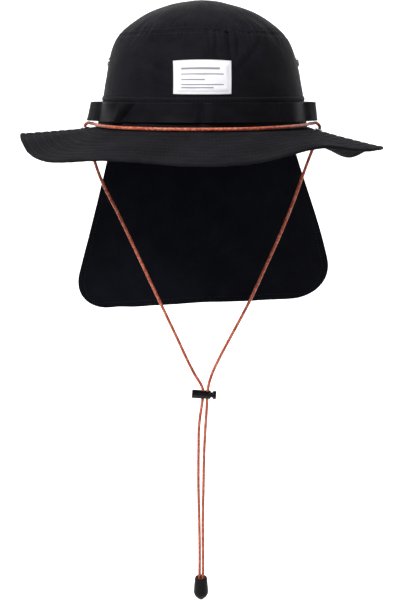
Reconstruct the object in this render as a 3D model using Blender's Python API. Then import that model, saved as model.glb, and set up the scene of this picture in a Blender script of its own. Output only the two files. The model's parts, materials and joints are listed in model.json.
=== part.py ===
"""Neck flap sun hat: an oval crown with a domed tip, a tacked ribbon band with a loop at
each side, a wide wavy brim, a curtain for the neck, and a chin cord that runs round the
front of the crown, down through two grommets, through a spring lock and into an end cap.

Metres, +Z up. The wearer looks along -Y and +X is to the right of someone who faces the
hat. The origin is the centre of the head opening, in the plane of the crown's seam."""

import math
from collections import namedtuple

import bmesh
import bpy
from mathutils import Euler, Matrix, Vector

MM = 0.001
PIECE_GAP = 0.3 * MM

# Crown: an oval side wall under a domed tip
CROWN_WIDTH = 190 * MM
CROWN_DEPTH = 196 * MM
CROWN_SIDE_HEIGHT = 80 * MM
CROWN_SEAM_TILT = 1.5 * MM
CROWN_TIP_RISE = 30 * MM
CROWN_WALL = 1.5 * MM
GATHER_COUNT = 16
GATHER_DEPTH = 0.7 * MM
WELT_RISE = 25.4 * MM
WELT_HEIGHT = 3.0 * MM
WELT_PROUD = 0.8 * MM

# Brim: measured over its outer edge, and hung from the crown's foot
BRIM_WIDTH = 326 * MM
BRIM_DEPTH = 333 * MM
BRIM_DROP = 21.0 * MM
BRIM_WALL = 2.4 * MM
BRIM_COLLAR = 1.2 * MM

# Ribbon band round the crown's foot
BAND_RISE = 4.6 * MM
BAND_SIDE_LIFT = 0.6 * MM
BAND_HEIGHT = 17.8 * MM
BAND_WALL = 1.2 * MM
BAND_LOOP_REACH = 9.0 * MM

# Curtain at the back
FLAP_LENGTH = 174 * MM
FLAP_BOTTOM_WIDTH = 263 * MM
FLAP_BOW = 46 * MM
FLAP_SWING = 5 * MM
FLAP_TILT = 5 * MM
FLAP_BELLY = 9 * MM
FLAP_CORNER = 34 * MM
FLAP_WAVE = 1.5 * MM
FLAP_WAVES = 1.5
FLAP_WALL = 1.2 * MM
FLAP_HALF_ANGLE = math.radians(61.5)

# Woven patch on the front
LABEL_WIDTH = 47.0 * MM
LABEL_HEIGHT = 26.8 * MM
LABEL_RISE = 29.3 * MM
LABEL_SHIFT = -0.9 * MM
LABEL_WALL = 1.0 * MM

# Grommets in the brim and vent eyelets in the crown
GROMMET_REACH = 11.2 * MM
GROMMET_DIAMETER = 8.4 * MM
GROMMET_BORE = 4.4 * MM
GROMMET_PROUD = 0.8 * MM
EYELET_DIAMETER = 8.4 * MM
EYELET_BORE = 4.0 * MM
EYELET_PROUD = 1.4 * MM
EYELET_RISE = 57 * MM
RIVET_WALL = 0.7 * MM
RIVET_CLEARANCE = 0.45 * MM

# Cord, lock and end cap
CORD_DIAMETER = 2.8 * MM
STRAND_SPACING = 4.4 * MM
STRAND_CLEARANCE = 0.5 * MM
LOCK_LENGTH = 18.1 * MM
LOCK_DIAMETER = 8.4 * MM
LOCK_BORE = 5.9 * MM
LOCK_LIP = 1.2 * MM
LOCK_FLOOR = 1.6 * MM
LOCK_TILT = math.radians(3.5)
LOCK_TRAVEL = 1.6 * MM
PLUNGER_LENGTH = 11.0 * MM
BUTTON_STAND_OFF = 2.0 * MM
BUTTON_DIAMETER = 8.2 * MM
BUTTON_THICKNESS = 3.3 * MM
CAP_LENGTH = 24.2 * MM
CAP_DIAMETER = 15 * MM
CAP_MOUTH = 12.5 * MM
CAP_BORE = 7.8 * MM
CAP_BORE_DEPTH = 11.5 * MM

LOCK_PLACE = Vector((3.1, 0, -254.4)) * MM
CAP_PLACE = Vector((-0.9, 0, -469.6)) * MM

ROUND_STEPS = 64
BRIM_STEPS = 80
BAND_STEPS = 108
FLAP_COLUMNS = 24
LABEL_COLUMNS = 8
LABEL_ROWS = 3
TURNED_STEPS = 16
LOCK_STEPS = 20
CORD_POINTS = 80
BEND_WEIGHT = 12 * MM

# Height and width along the side wall, as shares of its height and of its foot's width
SideRow = namedtuple("SideRow", "height width")
SIDE_ROWS = [
    SideRow(0.0, 1.0),
    SideRow(0.14, 0.979),
    SideRow(0.30, 0.955),
    SideRow(0.50, 0.922),
    SideRow(0.68, 0.890),
    SideRow(0.84, 0.851),
    SideRow(0.95, 0.808),
    SideRow(1.0, 0.775),
]

# Rise and width over the tip, as shares of its rise and of the seam's width
TipRow = namedtuple("TipRow", "rise width")
TIP_ROWS = [
    TipRow(0.0, 1.0),
    TipRow(0.19, 0.925),
    TipRow(0.42, 0.800),
    TipRow(0.66, 0.630),
    TipRow(0.87, 0.375),
    TipRow(1.0, 0.0),
]

# Lifts and dips of the brim's edge, as shares of its drop. Azimuth 0 is the front and
# +90 the right side. A negative lift is a dip.
BrimFold = namedtuple("BrimFold", "azimuth half_width lift")
BRIM_BASE = 0.95
BRIM_FOLDS = [
    BrimFold(-26, 14, 0.10),
    BrimFold(2, 12, -0.06),
    BrimFold(34, 14, 0.42),
    BrimFold(62, 28, 0.24),
    BrimFold(119.5, 11, -0.50),
    BrimFold(165, 16, 0.14),
    BrimFold(-105, 30, 0.62),
    BrimFold(-73, 10, 0.46),
]
BRIM_ROWS = [0.0, 0.1, 0.32, 0.58, 0.82, 1.0]
BRIM_CURL = 0.9

# Rows of the curtain, as shares of its length. The last ones turn its rounded corners.
FLAP_ROWS = [0.0, 0.2, 0.4, 0.6, 0.75, 0.83, 0.89, 0.94, 0.98, 1.0]

# How far the ribbon stands off the crown, as a share of the side loops' reach. The rows
# at no stand-off are where it is tacked down. Both sides are alike.
BandRow = namedtuple("BandRow", "azimuth stand_off")
BAND_ROWS = [
    BandRow(0, 0.0),
    BandRow(12, 0.16),
    BandRow(30, 0.20),
    BandRow(43, 0.0),
    BandRow(56, 0.16),
    BandRow(70, 0.0),
    BandRow(77, 0.55),
    BandRow(83, 0.95),
    BandRow(90, 1.0),
    BandRow(97, 0.95),
    BandRow(103, 0.55),
    BandRow(110, 0.0),
    BandRow(124, 0.16),
    BandRow(138, 0.0),
    BandRow(160, 0.18),
    BandRow(180, 0.0),
]

# The cord's route in millimetres, from the left end in the cap, up to the left grommet,
# round the front of the crown and down on the right to the cap again
CORD_ROUTE = [
    (-2.4, 0, -456.2),
    (-2.4, 0, -446),
    (-2.2, 0, -425),
    (-2.6, 0, -388),
    (-3.4, 0, -350),
    (-3.3, 0, -310),
    (-2.6, 0, -284),
    (-0.6, 0, -268),
    (0.6, 0, -259.5),
    (0.9, 0, -254.4),
    (1.1, 0, -250.2),
    (-0.2, 0, -246),
    (-6.2, 0, -235.5),
    (-26.3, 0, -192.4),
    (-52, 0, -136),
    (-77, 0, -81),
    (-93.5, 0, -46),
    (-100.6, 0, -24),
    (-104.6, 0, -10.5),
    (-106.1, 0, -3.0),
    (-106.3, -1.0, 0.8),
    (-103.6, -4.6, 3.4),
    (-99.6, -10.5, 3.3),
    (-95.9, -18.6, 3.0),
    (-92.1, -31.4, 2.6),
    (-82.5, -53.0, 2.2),
    (-62.5, -76.8, 1.8),
    (-33.3, -94.2, 1.7),
    (0, -100.2, 1.7),
    (33.3, -94.2, 1.8),
    (62.5, -76.8, 2.3),
    (82.5, -53.0, 2.8),
    (92.3, -31.2, 3.1),
    (95.9, -18.6, 3.3),
    (99.6, -10.5, 3.4),
    (103.8, -4.6, 3.3),
    (106.9, -1.0, -0.2),
    (106.4, 0, -4.6),
    (104.6, 0, -11),
    (98.9, 0, -26),
    (82.4, 0, -74),
    (69.4, 0, -107),
    (60.2, 0, -128),
    (45.6, 0, -161),
    (27.6, 0, -196.5),
    (17.4, 0, -216.5),
    (9.4, 0, -234.5),
    (6.5, 0, -244.5),
    (5.6, 0, -250.2),
    (5.3, 0, -254.4),
    (5.0, 0, -259.5),
    (4.6, 0, -268),
    (3.6, 0, -284),
    (2.3, 0, -310),
    (1.5, 0, -350),
    (0.9, 0, -388),
    (1.2, 0, -425),
    (1.1, 0, -446),
    (1.1, 0, -456.2),
]

Finish = namedtuple("Finish", "color roughness metallic")
CROWN_CLOTH = Finish((0.020, 0.020, 0.022), 0.62, 0.0)
BRIM_CLOTH = Finish((0.030, 0.030, 0.033), 0.66, 0.0)
FLAP_CLOTH = Finish((0.010, 0.010, 0.012), 0.85, 0.0)
RIBBON = Finish((0.014, 0.014, 0.016), 0.58, 0.0)
LABEL_WEAVE = Finish((0.78, 0.78, 0.80), 0.80, 0.0)
NICKEL = Finish((0.60, 0.60, 0.60), 0.30, 1.0)
CORD_BRAID = Finish((0.58, 0.13, 0.06), 0.60, 0.0)
BLACK_NYLON = Finish((0.012, 0.012, 0.013), 0.30, 0.0)


def clear_scene():
    for obj in list(bpy.data.objects):
        bpy.data.objects.remove(obj, do_unlink=True)


def material(name, finish):
    made = bpy.data.materials.new(name)
    made.use_nodes = True
    shader = made.node_tree.nodes["Principled BSDF"]
    shader.inputs["Base Color"].default_value = (*finish.color, 1.0)
    shader.inputs["Roughness"].default_value = finish.roughness
    shader.inputs["Metallic"].default_value = finish.metallic
    return made


def add_object(name, bm, finish):
    """Links the mesh as a node, with its faces turned outwards and shaded smooth."""
    bmesh.ops.recalc_face_normals(bm, faces=bm.faces)
    mesh = bpy.data.meshes.new(name)
    bm.to_mesh(mesh)
    bm.free()
    mesh.shade_smooth()
    mesh.set_sharp_from_angle(angle=math.radians(35))
    obj = bpy.data.objects.new(name, mesh)
    bpy.context.collection.objects.link(obj)
    obj.data.materials.append(material(name, finish))
    return obj


def smooth_at(xs, ys, x):
    """The value at x of a smooth curve through the points, which keeps to their range."""
    last = len(xs) - 1
    i = max(k for k in range(last) if xs[k] <= x or k == 0)

    def slope(k):
        if k in (0, last):
            near = min(k, last - 1)
            return (ys[near + 1] - ys[near]) / (xs[near + 1] - xs[near])
        before = (ys[k] - ys[k - 1]) / (xs[k] - xs[k - 1])
        after = (ys[k + 1] - ys[k]) / (xs[k + 1] - xs[k])
        return 0.0 if before * after <= 0 else 2 * before * after / (before + after)

    width = xs[i + 1] - xs[i]
    t = (x - xs[i]) / width
    start = (2 * t**3 - 3 * t**2 + 1) * ys[i] + (t**3 - 2 * t**2 + t) * width * slope(i)
    end = (3 * t**2 - 2 * t**3) * ys[i + 1] + (t**3 - t**2) * width * slope(i + 1)
    return start + end


def azimuths(steps):
    return [math.tau * k / steps for k in range(steps)]


def oval(azimuth, half_width, half_depth):
    """A point of the plan oval. Azimuth 0 is the front, -Y, and grows towards +X."""
    return Vector((half_width * math.sin(azimuth), -half_depth * math.cos(azimuth), 0))


def seam_height(azimuth):
    return CROWN_SIDE_HEIGHT + CROWN_SEAM_TILT * math.cos(azimuth)


def gathers(azimuth, near_seam):
    """How far the cloth is drawn in between the puckers, strongest at the seam."""
    return GATHER_DEPTH * near_seam * (0.5 - 0.5 * math.cos(GATHER_COUNT * azimuth))


def side_point(azimuth, height):
    """A point of the side wall's outer face, at this height in metres."""
    share = height / seam_height(azimuth)
    width = smooth_at([r.height for r in SIDE_ROWS], [r.width for r in SIDE_ROWS], share)
    welt = WELT_PROUD * max(0.0, 1 - abs(height - WELT_RISE) / (WELT_HEIGHT / 2))
    near_seam = max(0.0, (share - 0.8) / 0.2)
    extra = welt - gathers(azimuth, near_seam)
    at = oval(azimuth, CROWN_WIDTH / 2 * width + extra, CROWN_DEPTH / 2 * width + extra)
    at.z = height
    return at


def side_normal(azimuth, height):
    step = 0.01
    along = side_point(azimuth + step, height) - side_point(azimuth - step, height)
    up = side_point(azimuth, height + MM) - side_point(azimuth, height - MM)
    return along.cross(up).normalized()


def tip_point(azimuth, rise, width):
    """A point of the tip's outer face. It starts one gap above the side wall's edge."""
    seam = SIDE_ROWS[-1].width
    inset = gathers(azimuth, max(0.0, (width - 0.85) / 0.15))
    at = oval(
        azimuth,
        (CROWN_WIDTH / 2 * seam - inset) * width,
        (CROWN_DEPTH / 2 * seam - inset) * width,
    )
    tilt = CROWN_SEAM_TILT * math.cos(azimuth) * width
    at.z = CROWN_SIDE_HEIGHT + tilt + PIECE_GAP + CROWN_TIP_RISE * rise
    return at


def brim_drop(azimuth):
    """How far the brim's edge hangs below the crown's foot."""
    degrees = (math.degrees(azimuth) + 180) % 360 - 180
    share = BRIM_BASE
    for fold in BRIM_FOLDS:
        away = (degrees - fold.azimuth + 180) % 360 - 180
        share -= fold.lift * math.exp(-((away / fold.half_width) ** 2))
    return BRIM_DROP * share


def brim_point(azimuth, out):
    """A point of the brim's top face. out is 0 where its flat collar ends, 1 at the edge."""
    foot = oval(azimuth, CROWN_WIDTH / 2 + BRIM_COLLAR, CROWN_DEPTH / 2 + BRIM_COLLAR)
    edge = oval(azimuth, BRIM_WIDTH / 2, BRIM_DEPTH / 2)
    at = foot.lerp(edge, out)
    at.z = -brim_drop(azimuth) * out**BRIM_CURL
    return at


def brim_normal(azimuth, out):
    step = 0.01
    along = brim_point(azimuth + step, out) - brim_point(azimuth - step, out)
    outward = brim_point(azimuth, out + step) - brim_point(azimuth, out - step)
    return outward.cross(along).normalized()


def ring_surface(rows, top=None):
    """A skin of quads through rings of equal length, closed by a fan if top is given."""
    bm = bmesh.new()
    rings = [[bm.verts.new(p) for p in row] for row in rows]
    for lower, upper in zip(rings, rings[1:]):
        for k, corner in enumerate(lower):
            after = (k + 1) % len(lower)
            bm.faces.new((corner, lower[after], upper[after], upper[k]))
    if top is not None:
        apex = bm.verts.new(top)
        for k, corner in enumerate(rings[-1]):
            bm.faces.new((corner, rings[-1][(k + 1) % len(rings[-1])], apex))
    return bm


def sheet_surface(rows):
    """A skin of quads through open rows of equal length."""
    bm = bmesh.new()
    lines = [[bm.verts.new(p) for p in row] for row in rows]
    for lower, upper in zip(lines, lines[1:]):
        for k in range(len(lower) - 1):
            bm.faces.new((lower[k], lower[k + 1], upper[k + 1], upper[k]))
    return bm


def thicken(obj, wall, side):
    """Gives a skin its wall. side is -1 under the skin, 1 over it and 0 on both sides."""
    solidify = obj.modifiers.new("wall", "SOLIDIFY")
    solidify.thickness = wall
    solidify.offset = side
    solidify.use_even_offset = True
    solidify.use_rim = True


def cutter(name, bm):
    bmesh.ops.recalc_face_normals(bm, faces=bm.faces)
    mesh = bpy.data.meshes.new(name)
    bm.to_mesh(mesh)
    bm.free()
    obj = bpy.data.objects.new(name, mesh)
    bpy.context.collection.objects.link(obj)
    obj.hide_render = True
    obj.display_type = "WIRE"
    return obj


def cut(obj, tool):
    boolean = obj.modifiers.new("cut " + tool.name, "BOOLEAN")
    boolean.operation = "DIFFERENCE"
    boolean.solver = "EXACT"
    boolean.object = tool


def hole_cutter(name, place, along, diameter, length):
    bm = bmesh.new()
    bmesh.ops.create_cone(
        bm,
        cap_ends=True,
        segments=TURNED_STEPS,
        radius1=diameter / 2,
        radius2=diameter / 2,
        depth=length,
    )
    tool = cutter(name, bm)
    tool.matrix_world = Matrix.Translation(place) @ upright(along)
    return tool


def upright(along):
    """The turn that takes +Z to this direction."""
    return along.to_track_quat("Z", "Y").to_matrix().to_4x4()


def turned(name, profile, finish, steps=TURNED_STEPS):
    """A closed profile of (radius, height) points, spun about +Z. A radius of 0 is on the
    axis."""
    bm = bmesh.new()
    verts = [bm.verts.new((radius, 0, height)) for radius, height in profile]
    edges = [bm.edges.new(pair) for pair in zip(verts, verts[1:])]
    if profile[0][0] > 0:
        edges.append(bm.edges.new((verts[-1], verts[0])))
    bmesh.ops.spin(
        bm,
        geom=verts + edges,
        cent=(0, 0, 0),
        axis=(0, 0, 1),
        angle=math.tau,
        steps=steps,
        use_merge=True,
    )
    bmesh.ops.remove_doubles(bm, verts=bm.verts, dist=0.001 * MM)
    return add_object(name, bm, finish)


def make_crown_side():
    heights = [row.height * CROWN_SIDE_HEIGHT for row in SIDE_ROWS[1:-1]]
    welt = [WELT_RISE - WELT_HEIGHT / 2, WELT_RISE, WELT_RISE + WELT_HEIGHT / 2]
    heights = [h for h in heights if abs(h - WELT_RISE) > WELT_HEIGHT] + welt
    rows = [[side_point(a, PIECE_GAP) for a in azimuths(ROUND_STEPS)]]
    for height in sorted(heights):
        rows.append([side_point(a, height) for a in azimuths(ROUND_STEPS)])
    rows.append([side_point(a, seam_height(a)) for a in azimuths(ROUND_STEPS)])
    side = add_object("crown_side", ring_surface(rows), CROWN_CLOTH)
    thicken(side, CROWN_WALL, -1)
    return side


def make_crown_tip():
    rows = [[tip_point(a, r.rise, r.width) for a in azimuths(ROUND_STEPS)] for r in TIP_ROWS[:-1]]
    apex = tip_point(0, TIP_ROWS[-1].rise, TIP_ROWS[-1].width)
    tip = add_object("crown_tip", ring_surface(rows, top=apex), CROWN_CLOTH)
    thicken(tip, CROWN_WALL, -1)


def band_offset(azimuth):
    degrees = abs((math.degrees(azimuth) + 180) % 360 - 180)
    share = smooth_at([r.azimuth for r in BAND_ROWS], [r.stand_off for r in BAND_ROWS], degrees)
    return PIECE_GAP + BAND_LOOP_REACH * share


def band_point(azimuth, up):
    """A point of the ribbon's inner face. up is 0 at its lower edge and 1 at its upper."""
    lift = BAND_SIDE_LIFT * math.sin(azimuth) ** 2
    height = BAND_RISE + lift + BAND_HEIGHT * up
    off = band_offset(azimuth)
    out = side_normal(azimuth, height)
    out.z = 0
    return side_point(azimuth, height) + out.normalized() * off


def make_hat_band():
    rows = [[band_point(a, up) for a in azimuths(BAND_STEPS)] for up in (0.0, 1.0)]
    band = add_object("hat_band", ring_surface(rows), RIBBON)
    thicken(band, BAND_WALL, 1)


def make_brim():
    opening = (CROWN_WIDTH / 2 - CROWN_WALL, CROWN_DEPTH / 2 - CROWN_WALL)
    rows = [[oval(a, *opening) for a in azimuths(BRIM_STEPS)]]
    for out in BRIM_ROWS:
        rows.append([brim_point(a, out) for a in azimuths(BRIM_STEPS)])
    brim = add_object("brim", ring_surface(rows[::-1]), BRIM_CLOTH)
    thicken(brim, BRIM_WALL, -1)
    return brim


def flap_row(down):
    """One row of the curtain's middle surface, from its left edge to its right. down is 0
    at the crown's foot and 1 at the lower edge."""
    to_bottom = (1 - down) * FLAP_LENGTH
    rounding = max(0.0, FLAP_CORNER - to_bottom)
    shortening = FLAP_CORNER - math.sqrt(FLAP_CORNER**2 - rounding**2)
    half_width = (CROWN_WIDTH - CROWN_WALL) / 2
    half_depth = (CROWN_DEPTH - CROWN_WALL) / 2
    row = []
    for k in range(FLAP_COLUMNS + 1):
        across = (2 * k / FLAP_COLUMNS - 1) * (1 - 2 * shortening / FLAP_BOTTOM_WIDTH)
        top = oval(math.pi - across * FLAP_HALF_ANGLE, half_width, half_depth)
        bottom = Vector((FLAP_BOTTOM_WIDTH / 2 * across, half_depth + FLAP_SWING, 0))
        bottom.y -= FLAP_BOW * across**2
        bottom.y += FLAP_WAVE * math.cos(FLAP_WAVES * math.tau * across)
        at = top.lerp(bottom, down)
        drop = FLAP_LENGTH + FLAP_BELLY * (1 - across**2) - FLAP_TILT * across
        at.z = -BRIM_WALL - PIECE_GAP - drop * down
        row.append(at)
    return row


def make_neck_flap():
    flap = add_object("neck_flap", sheet_surface([flap_row(d) for d in FLAP_ROWS]), FLAP_CLOTH)
    thicken(flap, FLAP_WALL, 0)


def make_front_label():
    rows = []
    for j in range(LABEL_ROWS + 1):
        height = LABEL_RISE + LABEL_HEIGHT * j / LABEL_ROWS
        half_width = side_point(math.pi / 2, height).x
        row = []
        for k in range(LABEL_COLUMNS + 1):
            across = LABEL_SHIFT + LABEL_WIDTH * (k / LABEL_COLUMNS - 0.5)
            azimuth = math.asin(across / half_width)
            row.append(side_point(azimuth, height) + side_normal(azimuth, height) * PIECE_GAP)
        rows.append(row)
    label = add_object("front_label", sheet_surface(rows), LABEL_WEAVE)
    thicken(label, LABEL_WALL, 1)


def rivet_profile(diameter, bore, proud, cloth):
    """A rolled ring on each face of the cloth, with a tube between them. Height 0 is the
    cloth's outer face."""
    rim, hole = diameter / 2, bore / 2
    tube = hole + RIVET_WALL
    crest = (hole + rim) / 2
    above = RIVET_CLEARANCE
    below = -cloth - RIVET_CLEARANCE
    return [
        (hole, below - proud / 2),
        (hole, above + proud / 2),
        (crest, above + proud),
        (rim, above + proud / 3),
        (rim, above),
        (tube, above),
        (tube, below),
        (rim, below),
        (rim, below - proud / 3),
        (crest, below - proud),
    ]


def set_rivet(name, place, along, profile, cloth_object, tube):
    """Seats a turned ring in a hole that it cuts in the cloth."""
    rivet = turned(name, profile, NICKEL)
    rivet.matrix_world = Matrix.Translation(place) @ upright(along)
    tool = hole_cutter(name + "_hole", place, along, tube + 2 * PIECE_GAP, 12 * MM)
    cut(cloth_object, tool)


def make_brim_grommets(brim):
    profile = rivet_profile(GROMMET_DIAMETER, GROMMET_BORE, GROMMET_PROUD, BRIM_WALL)
    slope_width = (BRIM_WIDTH - CROWN_WIDTH) / 2 - BRIM_COLLAR
    out = (GROMMET_REACH - BRIM_COLLAR) / slope_width
    for side, azimuth in (("left", -math.pi / 2), ("right", math.pi / 2)):
        place, along = brim_point(azimuth, out), brim_normal(azimuth, out)
        tube = GROMMET_BORE + 2 * RIVET_WALL
        set_rivet("brim_grommet_" + side, place, along, profile, brim, tube)


def make_vent_eyelets(crown_side):
    profile = rivet_profile(EYELET_DIAMETER, EYELET_BORE, EYELET_PROUD, CROWN_WALL)
    for side, azimuth in (("left", -math.pi / 2), ("right", math.pi / 2)):
        place, along = side_point(azimuth, EYELET_RISE), side_normal(azimuth, EYELET_RISE)
        tube = EYELET_BORE + 2 * RIVET_WALL
        set_rivet("vent_eyelet_" + side, place, along, profile, crown_side, tube)


def smooth_route(route, count):
    """count points on a smooth curve through the route, closer together in its bends."""
    points = [Vector(p) * MM for p in route]
    spans = [(after - before).length for before, after in zip(points, points[1:])]
    slopes = [(points[1] - points[0]) / spans[0]]
    for k in range(1, len(points) - 1):
        before = (points[k] - points[k - 1]) / spans[k - 1]
        after = (points[k + 1] - points[k]) / spans[k]
        slopes.append((before * spans[k] + after * spans[k - 1]) / (spans[k] + spans[k - 1]))
    slopes.append((points[-1] - points[-2]) / spans[-1])
    fine = []
    for k, span in enumerate(spans):
        for step in range(24):
            t = step / 24
            at = points[k] * (2 * t**3 - 3 * t**2 + 1) + points[k + 1] * (3 * t**2 - 2 * t**3)
            at += slopes[k] * span * (t**3 - 2 * t**2 + t)
            at += slopes[k + 1] * span * (t**3 - t**2)
            fine.append(at)
    fine.append(points[-1])

    reach = [0.0]
    for k in range(1, len(fine)):
        step = fine[k] - fine[k - 1]
        turn = step.angle(fine[k + 1] - fine[k]) if k + 1 < len(fine) else 0.0
        reach.append(reach[-1] + step.length + BEND_WEIGHT * turn)
    picked = [fine[0]]
    k = 0
    for n in range(1, count - 1):
        goal = reach[-1] * n / (count - 1)
        while reach[k + 1] < goal:
            k += 1
        share = (goal - reach[k]) / (reach[k + 1] - reach[k])
        picked.append(fine[k].lerp(fine[k + 1], share))
    picked.append(fine[-1])
    return picked


def make_chin_cord():
    curve = bpy.data.curves.new("chin_cord", "CURVE")
    curve.dimensions = "3D"
    curve.bevel_depth = CORD_DIAMETER / 2
    curve.bevel_resolution = 2
    curve.use_fill_caps = True
    spline = curve.splines.new("POLY")
    points = smooth_route(CORD_ROUTE, CORD_POINTS)
    spline.points.add(len(points) - 1)
    for point, at in zip(spline.points, points):
        point.co = (*at, 1.0)
    cord = bpy.data.objects.new("chin_cord", curve)
    bpy.context.collection.objects.link(cord)
    curve.materials.append(material("chin_cord", CORD_BRAID))


def slot_cutter(name, low, high, parent):
    """A slot for the two strands, from low to high along the lock's axis, right through."""
    bm = bmesh.new()
    bmesh.ops.create_cube(bm, size=1.0)
    width = CORD_DIAMETER + 2 * STRAND_CLEARANCE
    bmesh.ops.scale(bm, vec=(2 * LOCK_DIAMETER, width, high - low), verts=bm.verts)
    bmesh.ops.translate(bm, vec=(0, 0, (low + high) / 2), verts=bm.verts)
    tool = cutter(name, bm)
    tool.parent = parent
    return tool


def make_cord_lock():
    """The barrel and the plunger are turned about the lock's axis, which points from the
    closed end to the button. Its origin is midway between the two strands."""
    seat = bpy.data.objects.new("lock_seat", None)
    bpy.context.collection.objects.link(seat)
    seat.location = LOCK_PLACE
    seat.rotation_euler = Euler((0, math.pi / 2 + LOCK_TILT, 0))
    half_slot = (STRAND_SPACING + CORD_DIAMETER) / 2 + STRAND_CLEARANCE
    mouth = half_slot + LOCK_LIP
    back = mouth - LOCK_LENGTH
    outer, bore, edge = LOCK_DIAMETER / 2, LOCK_BORE / 2, 0.6 * MM
    barrel_profile = [
        (0, back),
        (outer - edge, back),
        (outer, back + edge),
        (outer, mouth - edge),
        (outer - edge, mouth),
        (bore, mouth),
        (bore, back + LOCK_FLOOR),
        (0, back + LOCK_FLOOR),
    ]
    barrel = turned("cord_lock_barrel", barrel_profile, BLACK_NYLON, LOCK_STEPS)
    barrel.parent = seat
    cut(barrel, slot_cutter("barrel_slot", -half_slot, half_slot, seat))

    rod = bore - PIECE_GAP
    button = BUTTON_DIAMETER / 2
    button_start = mouth + BUTTON_STAND_OFF
    button_end = button_start + BUTTON_THICKNESS
    plunger_profile = [
        (0, mouth - PLUNGER_LENGTH),
        (rod, mouth - PLUNGER_LENGTH),
        (rod, button_start),
        (button - edge, button_start),
        (button, button_start + edge),
        (button, button_end - edge),
        (button - edge, button_end),
        (0, button_end),
    ]
    plunger = turned("cord_lock_plunger", plunger_profile, BLACK_NYLON, LOCK_STEPS)
    plunger.parent = seat
    cut(plunger, slot_cutter("plunger_slot", -half_slot, half_slot + LOCK_TRAVEL, seat))


def make_cord_end_cap():
    """A moulded cap with a blunt lower end and a bore in its mouth for both cord ends."""
    wide, mouth, bore = CAP_DIAMETER / 2, CAP_MOUTH / 2, CAP_BORE / 2
    profile = [
        (0, 0),
        (0.25 * wide, 0),
        (0.80 * wide, 0.17 * CAP_LENGTH),
        (wide, 0.31 * CAP_LENGTH),
        (0.93 * wide, 0.62 * CAP_LENGTH),
        (mouth, 0.95 * CAP_LENGTH),
        (mouth - 0.4 * MM, CAP_LENGTH),
        (bore, CAP_LENGTH),
        (bore, CAP_LENGTH - CAP_BORE_DEPTH),
        (0, CAP_LENGTH - CAP_BORE_DEPTH),
    ]
    cap = turned("cord_end_cap", profile, BLACK_NYLON)
    cap.location = CAP_PLACE


def main():
    clear_scene()
    crown_side = make_crown_side()
    make_crown_tip()
    make_hat_band()
    brim = make_brim()
    make_neck_flap()
    make_front_label()
    make_brim_grommets(brim)
    make_vent_eyelets(crown_side)
    make_chin_cord()
    make_cord_lock()
    make_cord_end_cap()


if __name__ == "__main__":
    main()
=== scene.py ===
"""Neck flap sun hat: the looks of its cloth, cord and fittings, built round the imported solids.

Metres, +Z up. The wearer looks along -Y and +X is to the right of someone who faces the hat.
An azimuth of 0 is the front and it grows towards +X. Patterns on cloth read the piece's own
UV map, which is in millimetres along the cloth."""

import json
import math
from collections import namedtuple

import bmesh
import bpy
import numpy as np
from bpy.props import FloatProperty, FloatVectorProperty, IntProperty, PointerProperty
from bpy.types import Operator, Panel, PropertyGroup
from mathutils import Euler, Matrix, Vector

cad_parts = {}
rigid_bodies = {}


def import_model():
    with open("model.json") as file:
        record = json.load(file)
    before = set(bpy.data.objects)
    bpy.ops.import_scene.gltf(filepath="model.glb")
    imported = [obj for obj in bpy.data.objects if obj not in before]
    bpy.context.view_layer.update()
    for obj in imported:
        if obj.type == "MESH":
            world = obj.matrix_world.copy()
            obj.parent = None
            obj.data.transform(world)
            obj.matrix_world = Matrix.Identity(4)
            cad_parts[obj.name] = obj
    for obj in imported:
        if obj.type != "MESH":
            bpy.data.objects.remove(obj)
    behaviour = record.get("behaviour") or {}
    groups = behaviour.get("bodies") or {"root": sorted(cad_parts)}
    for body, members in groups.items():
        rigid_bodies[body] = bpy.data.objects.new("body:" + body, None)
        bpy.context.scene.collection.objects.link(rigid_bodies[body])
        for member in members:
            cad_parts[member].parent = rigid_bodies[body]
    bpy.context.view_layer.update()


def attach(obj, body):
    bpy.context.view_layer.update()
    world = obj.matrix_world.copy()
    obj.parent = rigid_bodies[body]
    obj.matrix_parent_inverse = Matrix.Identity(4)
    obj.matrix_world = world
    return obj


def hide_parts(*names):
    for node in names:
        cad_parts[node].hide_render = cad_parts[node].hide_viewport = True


bl_info = {
    "name": "Neck Flap Sun Hat",
    "version": (1, 0, 0),
    "blender": (4, 5, 0),
    "location": "3D View > Sidebar > Sun Hat",
    "description": "Builds the cloth, cord and fittings of a sun hat with a neck curtain",
    "category": "Object",
}

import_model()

MM = 0.001


# Shapes that are shares of a named size

# Height and width along the crown's side, as shares of its height and of its foot's width
SideRow = namedtuple("SideRow", "height width")
SIDE_ROWS = [
    SideRow(0.0, 1.0),
    SideRow(0.14, 0.979),
    SideRow(0.30, 0.955),
    SideRow(0.50, 0.922),
    SideRow(0.68, 0.890),
    SideRow(0.84, 0.851),
    SideRow(0.95, 0.808),
    SideRow(1.0, 0.775),
]
SEAM_SHARE = SIDE_ROWS[-1].width

# Width and rise over the crown's tip, as shares of the seam's width and of the tip's rise
TipRow = namedtuple("TipRow", "width rise")
TIP_ROWS = [
    TipRow(0.0, 1.0),
    TipRow(0.04, 0.9993),
    TipRow(0.1, 0.994),
    TipRow(0.23, 0.957),
    TipRow(0.375, 0.875),
    TipRow(0.618, 0.66),
    TipRow(0.790, 0.42),
    TipRow(0.918, 0.19),
    TipRow(1.0, 0.0),
]

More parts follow.
